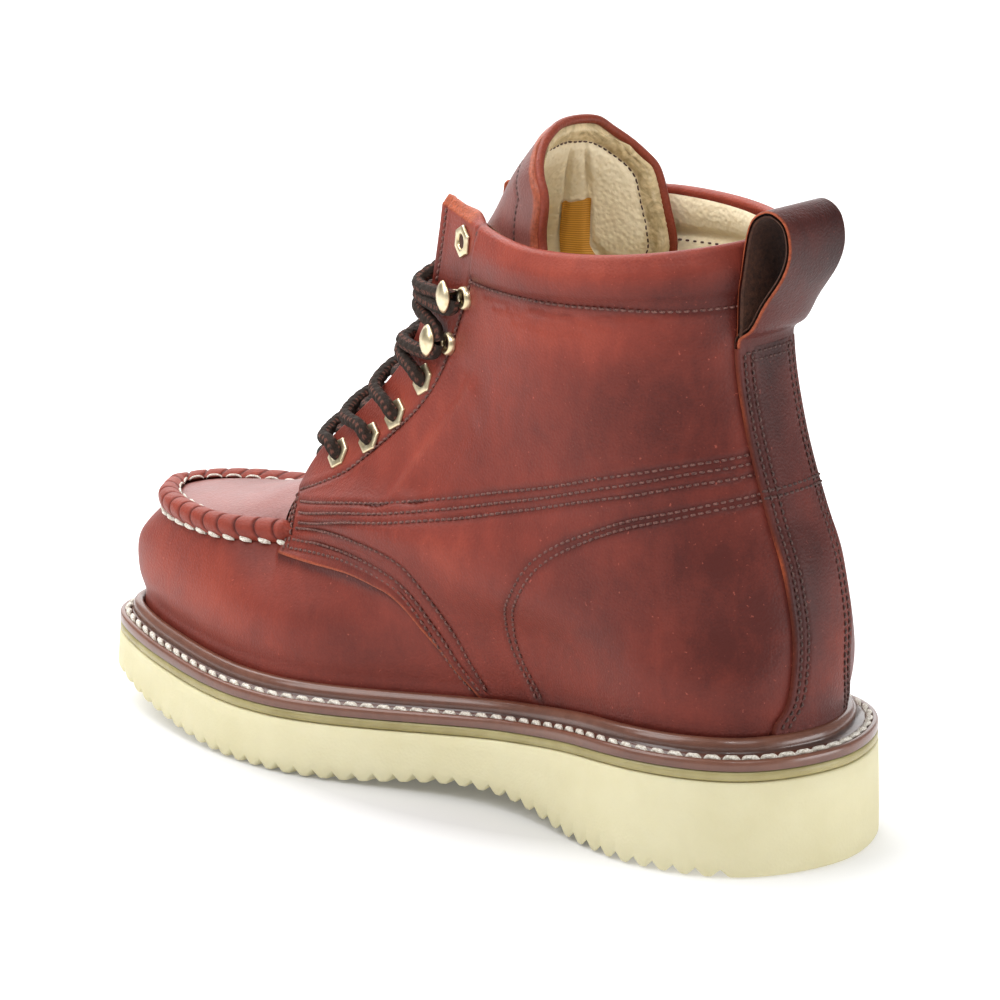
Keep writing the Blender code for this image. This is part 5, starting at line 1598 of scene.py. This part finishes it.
def turned(centre, forward, upward, normal, shape, sides=48, stretch=1.0, pointed=0.0):
    """Rings round an axis from (radius, lift, how six-sided), drawn to a point at both ends where asked."""
    angle = circle(sides)
    corner = (angle + np.pi / 6) % (np.pi / 3) - np.pi / 6
    hexagon = np.cos(np.pi / 6) / np.cos(corner) * 1.04
    rings = []
    for radius, lift, six in shape:
        r = radius * (1 + six * (hexagon - 1))
        narrow = r * np.cos(angle) * (1 - pointed * (1 - np.abs(np.cos(angle))))
        across = np.outer(r * np.sin(angle) * stretch, upward)
        rings.append(centre + np.outer(narrow, forward) + across + normal * lift)
    return np.array(rings), grid_faces(len(shape), sides, wrap=True)


def build_eyelets():
    """Six-sided eyelets and the hooks, each with a dark disc of painted shade in its open hole."""
    for hand, label in ((1, "inner"), (-1, "outer")):
        hole_shades = []
        for number, row in enumerate(rows_of(EYELETS), 1):
            centre, normal, forward, _ = seat(spot_of(row, hand))
            upward = np.cross(normal, forward)
            rings, faces = turned(centre, forward, upward, normal, EYELET_SHAPE)
            name = f"{label}_{number}"
            add_piece(f"eyelet_ring_{name}", rings, faces, "brass", "brass", [f"eyelet_{name}"])
            hole_shades.append(turned(centre, forward, upward, normal, EYELET_HOLE_SHADE, 24))
        for number, row in enumerate(rows_of(HOOKS), 1):
            spot = spot_of(row, hand)
            build_hook(f"{label}_{number}", spot)
            centre, normal, forward, _ = seat(spot)
            middle, upward = centre - forward * RIVET_BACK, np.cross(normal, forward)
            hole_shades.append(turned(middle, forward, upward, normal, RIVET_HOLE_SHADE, 24))
        points, quads = joined(*hole_shades)
        add_piece(f"eyelet_hole_shade_{label}", points, quads, "suede", "lining_leather")


def build_hook(label, spot):
    """Speed hook: a hollow rivet, an arm that curls up and a domed oval head."""
    centre, normal, forward, _ = seat(spot)
    upward = np.cross(normal, forward)
    shape = path(np.array(HOOK_ARM), 30)
    heading = unit(np.gradient(shape[:, :2], axis=0))
    aside = np.column_stack([-heading[:, 1], heading[:, 0]])
    angle = circle(16)
    arm = np.array([
        centre + np.outer(ahead + 0.55 * np.cos(angle) * da, forward)
        + np.outer(lift + 0.55 * np.cos(angle) * dl, normal) + np.outer(half * np.sin(angle), upward)
        for (ahead, lift, half), (da, dl) in zip(shape, aside)
    ])
    parts = [
        (arm, grid_faces(30, 16, wrap=True)),
        turned(centre - forward * RIVET_BACK, forward, upward, normal, HOOK_RIVET, 32),
        turned(centre + forward * HEAD_AHEAD, forward, upward, normal, HOOK_HEAD, 40, 1.22, 0.45),
    ]
    points, quads = joined(*parts)
    add_piece(f"hook_{label}_brass", points, quads, "brass", "brass", [f"hook_{label}"])


def across_of(line):
    """Two directions across a line that don't twist round it."""
    ahead = unit(np.gradient(line, axis=0))
    first = np.empty_like(line)
    first[0] = unit(np.cross(ahead[0], (0.31, 0.77, 0.55)))
    for k in range(1, len(line)):
        first[k] = unit(first[k - 1] - ahead[k] * (first[k - 1] @ ahead[k]))
    return first[:, None], np.cross(ahead, first)[:, None]


def tube(line, radius, sides=12):
    """A round tube along a line."""
    first, second = across_of(line)
    angle = circle(sides)[:, None]
    rings = line[:, None] + radius[:, None, None] * (first * np.cos(angle) + second * np.sin(angle))
    return rings, grid_faces(len(line), sides, wrap=True)


def braid(line, radius, sides=32):
    """A braided round cord along a line: points, faces and where its red flecks show."""
    run = runs(line)
    first, second = across_of(line)
    angle = circle(sides)
    one = np.cos(4 * angle[None] + 2 * np.pi * run[:, None] / LACE_BRAID)
    two = np.cos(4 * angle[None] - 2 * np.pi * run[:, None] / LACE_BRAID)
    weave = np.maximum(one, two)
    r = radius * (0.93 + 0.09 * weave)[:, :, None]
    rings = line[:, None] + r * (first * np.cos(angle)[:, None] + second * np.sin(angle)[:, None])
    column = (4 * angle / (2 * np.pi)) % 1 - 0.5
    chevron = np.cos(2 * np.pi * (run[:, None] / LACE_FLECK + 1.1 * np.abs(column)))
    fleck = np.clip(1.7 * np.cos(2 * np.pi * column) - 0.1, 0, 1) * np.clip(2.0 * chevron - 0.1, 0, 1)
    return rings, grid_faces(len(line), sides, wrap=True), fleck


def bridge_spot(at, across, lift):
    """A place over the middle of the tongue between the lacing edges."""
    spot, ahead = (laced_row(at + step, 20.0, np.array([-0.05, 0.0, 0.05]))[1] for step in (0, 1))
    ahead = ahead - spot
    return spot + np.array([ahead[2], 0, -ahead[0]]) / np.linalg.norm(ahead) * lift + (0, across, 0)


def edge_spot(hand, at, lift, beyond, back=1.0):
    """A place by the lacing edge: lift above the leather and beyond the edge."""
    u, at = np.array([hand * THROAT * back]), np.array([at])
    spot, before = shell(u, at)[0], shell(u * 0.985, at)[0]
    return spot + shell_normal(u * 0.998, at)[0] * lift + unit(spot - before) * beyond


def lace_strand(start, end, hand, over, from_hook, to_hook):
    """Cord from one side's eyelet or hook across the tongue to the other side's next one."""
    centre, normal, forward, low = seat(start)
    _, _, _, high = seat(end)
    upward = -hand * np.cross(normal, forward)
    place = low + (high - low) * np.array([0.48, 0.7, 0.88, 0.97])
    if from_hook:
        neck = centre + normal * NECK_LIFT - forward * NECK_BACK
        spots = [neck, centre + normal * 3.2 + forward * 0.2 + upward * 3.6]
    else:
        spots = [centre - normal * 3.0, centre + normal * 1.0,
                 centre + normal * (LACE_LOOK + 1.0) + forward * 2.6 + upward * 2.6]
    spots.append(edge_spot(hand, place[0], LACE_LOOK + 0.1, -0.4))
    spots.append(bridge_spot(place[1], 0, LACE_RADIUS + (3.4 if over else 0.3)))
    if to_hook:
        centre, normal, forward, _ = seat(end)
        upward = hand * np.cross(normal, forward)
        spots.append(edge_spot(-hand, place[2] - 2.0, LACE_RADIUS + 0.5, 0.9))
        spots.append(centre + normal * 3.2 + forward * 0.2 - upward * 3.6)
        spots.append(centre + normal * NECK_LIFT - forward * NECK_BACK)
    else:
        spots.append(edge_spot(-hand, place[2], -WALL - 0.2, 1.5))
        spots.append(edge_spot(-hand, place[3], -WALL - 0.6, 0.0, 0.97))
    return np.array(spots)


def lace_end_route(hand):
    """A free end of the lace: from the upper hook over the lacing edge, up the tongue to the top eyelet."""
    top = rows_of(EYELETS)[-1]
    hook = rows_of(HOOKS)[-1]
    centre, normal, forward, hook_at = seat(spot_of(hook, hand))
    neck = centre + normal * NECK_LIFT - forward * NECK_BACK
    at = np.array([hook_at + 2.0])
    edge_u = np.array([hand * THROAT])
    brink = shell(edge_u, at)[0] + shell_normal(edge_u * 0.998, at)[0] * (LACE_RADIUS + LACE_CLEAR)
    toward = shell(edge_u, at)[0] - shell(edge_u * 0.98, at)[0]
    brink += toward / np.linalg.norm(toward) * 2.6
    w = np.array([hand * LACE_END_W - 0.05, hand * LACE_END_W, hand * LACE_END_W + 0.05])
    face, _ = tongue_face(60, w)
    normal = grid_normals(face)
    lifted = (face + normal * np.sign(normal[30, 1, 0]) * (LACE_RADIUS + LACE_CLEAR))[:, 1]
    rows = (lifted[:, 2] > brink[2] + 5) & (lifted[:, 2] < top["up"])
    return path(np.vstack([neck, brink, lifted[rows][::2]]), 70)


def build_lace():
    """The lace: two free ends, a bar at the bottom and crossings up to the hooks."""
    for hand, label in ((1, "inner"), (-1, "outer")):
        route = lace_end_route(hand)
        rings, faces, fleck = braid(route, LACE_LOOK)
        nodes = [f"lace_end_{label}"]
        made = add_piece(f"lace_free_{label}", rings, faces, "lace", "lace_cord", nodes, fleck=fleck)
        points = world(route)
    places = [("eyelet", r) for r in rows_of(EYELETS)[:4]] + [("hook", r) for r in rows_of(HOOKS)]
    for number in range(1, 6):
        (kind, low), (next_kind, high) = places[number - 1], places[number]
        strands = []
        for hand in (1, -1):
            start, end = spot_of(low, hand), spot_of(high, -hand)
            spots = lace_strand(start, end, hand, hand > 0, kind == "hook", next_kind == "hook")
            strands.append(braid(path(spots, 170), LACE_LOOK))
        if number == 1:
            low_at = seat(spot_of(low, 1))[3]
            under = [edge_spot(hand, low_at - 1, -WALL - 0.6, 0.0, 0.97) for hand in (1, -1)]
            brink = [edge_spot(hand, low_at - 2, -WALL - 0.2, 1.5) for hand in (1, -1)]
            middle = bridge_spot(low_at - 3.0, 0, LACE_RADIUS + 0.3)
            bar = np.array([under[0], brink[0], middle, brink[1], under[1]])
            strands.append(braid(path(bar, 80), LACE_LOOK))
        points, faces = joined(*((rings, quads) for rings, quads, _ in strands))
        fleck = np.concatenate([spots.ravel() for _, _, spots in strands])
        nodes = [f"lace_crossing_{number}"]
        add_piece(f"lace_pair_{number}", points, faces, "lace", "lace_cord", nodes, fleck=fleck)


# Camera, light and floor

def look_at(made, spot, target):
    """Puts a camera or light at a spot and turns it to its target."""
    made.location = spot
    made.rotation_euler = (target - spot).to_track_quat("-Z", "Y").to_euler()


def add_light(name, spot, target, size, power):
    """A soft square light that the camera doesn't see."""
    lamp = bpy.data.lights.new(name, "AREA")
    lamp.shape = "RECTANGLE"
    lamp.size, lamp.size_y = size
    lamp.energy = power
    made = bpy.data.objects.new(name, lamp)
    made.visible_camera = False
    look_at(made, Vector(spot), target)
    bpy.context.scene.collection.objects.link(made)


def build_stage():
    """Camera, soft lights and white room."""
    scene = bpy.context.scene
    target = Vector((-CENTRE_ACROSS * MM, 0, 0.08))
    level = math.cos(CAMERA_RISE)
    back = Vector((math.sin(CAMERA_TURN) * level, -math.cos(CAMERA_TURN) * level, math.sin(CAMERA_RISE)))
    camera = bpy.data.objects.new("photo_camera", bpy.data.cameras.new("photo_camera"))
    camera.data.lens = CAMERA_LENS
    camera.data.shift_x, camera.data.shift_y = CAMERA_SHIFT
    look_at(camera, target + back * CAMERA_AWAY, target)
    scene.collection.objects.link(camera)
    scene.camera = camera
    right = Vector((0, 0, 1)).cross(back).normalized()
    above = Vector((0, 0, 1))
    for name, (rightward, backward, upward), size, power in LIGHTS:
        spot = target + right * rightward + back * backward + above * upward
        add_light(name, spot, target, size, power)
    collar = Vector((0.0, 0.03, 0.19))
    lamp = bpy.data.lights.new("collar_spot", "SPOT")
    lamp.energy = COLLAR_POWER
    lamp.spot_size = COLLAR_CONE
    lamp.spot_blend = 0.7
    lamp.shadow_soft_size = 0.12
    spot = bpy.data.objects.new("collar_spot", lamp)
    look_at(spot, collar + Vector((back.x, back.y, 0)) * 0.55 + above * 0.75, collar)
    scene.collection.objects.link(spot)
    world_light = bpy.data.worlds.new("white_room")
    world_light.use_nodes = True
    glow = world_light.node_tree.nodes["Background"].inputs
    glow["Color"].default_value = (1, 1, 1, 1)
    glow["Strength"].default_value = ROOM_LIGHT
    scene.world = world_light
    scene.view_settings.view_transform = "Standard"


def build_floor():
    """A pale floor that glows away from the boot, so that only the boot's shadow shows there; under the boot
    the glow is turned down as painted shade.
    """
    mesh = bpy.data.meshes.new("floor")
    corners = [(x, y, -0.0005) for x, y in ((-4, -4), (4, -4), (4, 4), (-4, 4))]
    mesh.from_pydata(corners, [], [(0, 1, 2, 3)])
    floor = bpy.data.objects.new("floor", mesh)
    made, tree, shader, place = start_paint("floor_paint", 0.9, Emission_Color=(1, 1, 1, 1))
    pale = ramp(tree, noise(tree, place, 3, 2), (0.3, (0.60, 0.60, 0.60)), (0.7, (0.62, 0.62, 0.62)))
    coloured(tree, shader, pale)
    oval = shader_node(tree, "Mapping", Vector=place, Scale=(8.5, 4.4, 1.0)).outputs[0]
    away = shader_node(tree, "TexGradient", {"gradient_type": "QUADRATIC_SPHERE"}, Vector=oval).outputs["Fac"]
    # The glow falls from far to near under the boot: painted shade under the sole.
    far, near = FLOOR_GLOW_AND_SHADE
    shine = shader_node(tree, "MapRange", Value=away, From_Min=0.0, From_Max=0.25, To_Min=far, To_Max=near)
    tree.links.new(shine.outputs[0], shader.inputs["Emission Strength"])
    mesh.materials.append(made)
    bpy.context.scene.collection.objects.link(floor)


build_stage()
build_floor()
build_lace()
build_quarter(1, "inner")
build_quarter(-1, "outer")
build_vamp()
build_plug()
build_moc()
build_lining()
build_backstay()
build_loop()
build_tongue()
build_welt()
build_foam()
build_midsole()
build_insole()
build_eyelets()
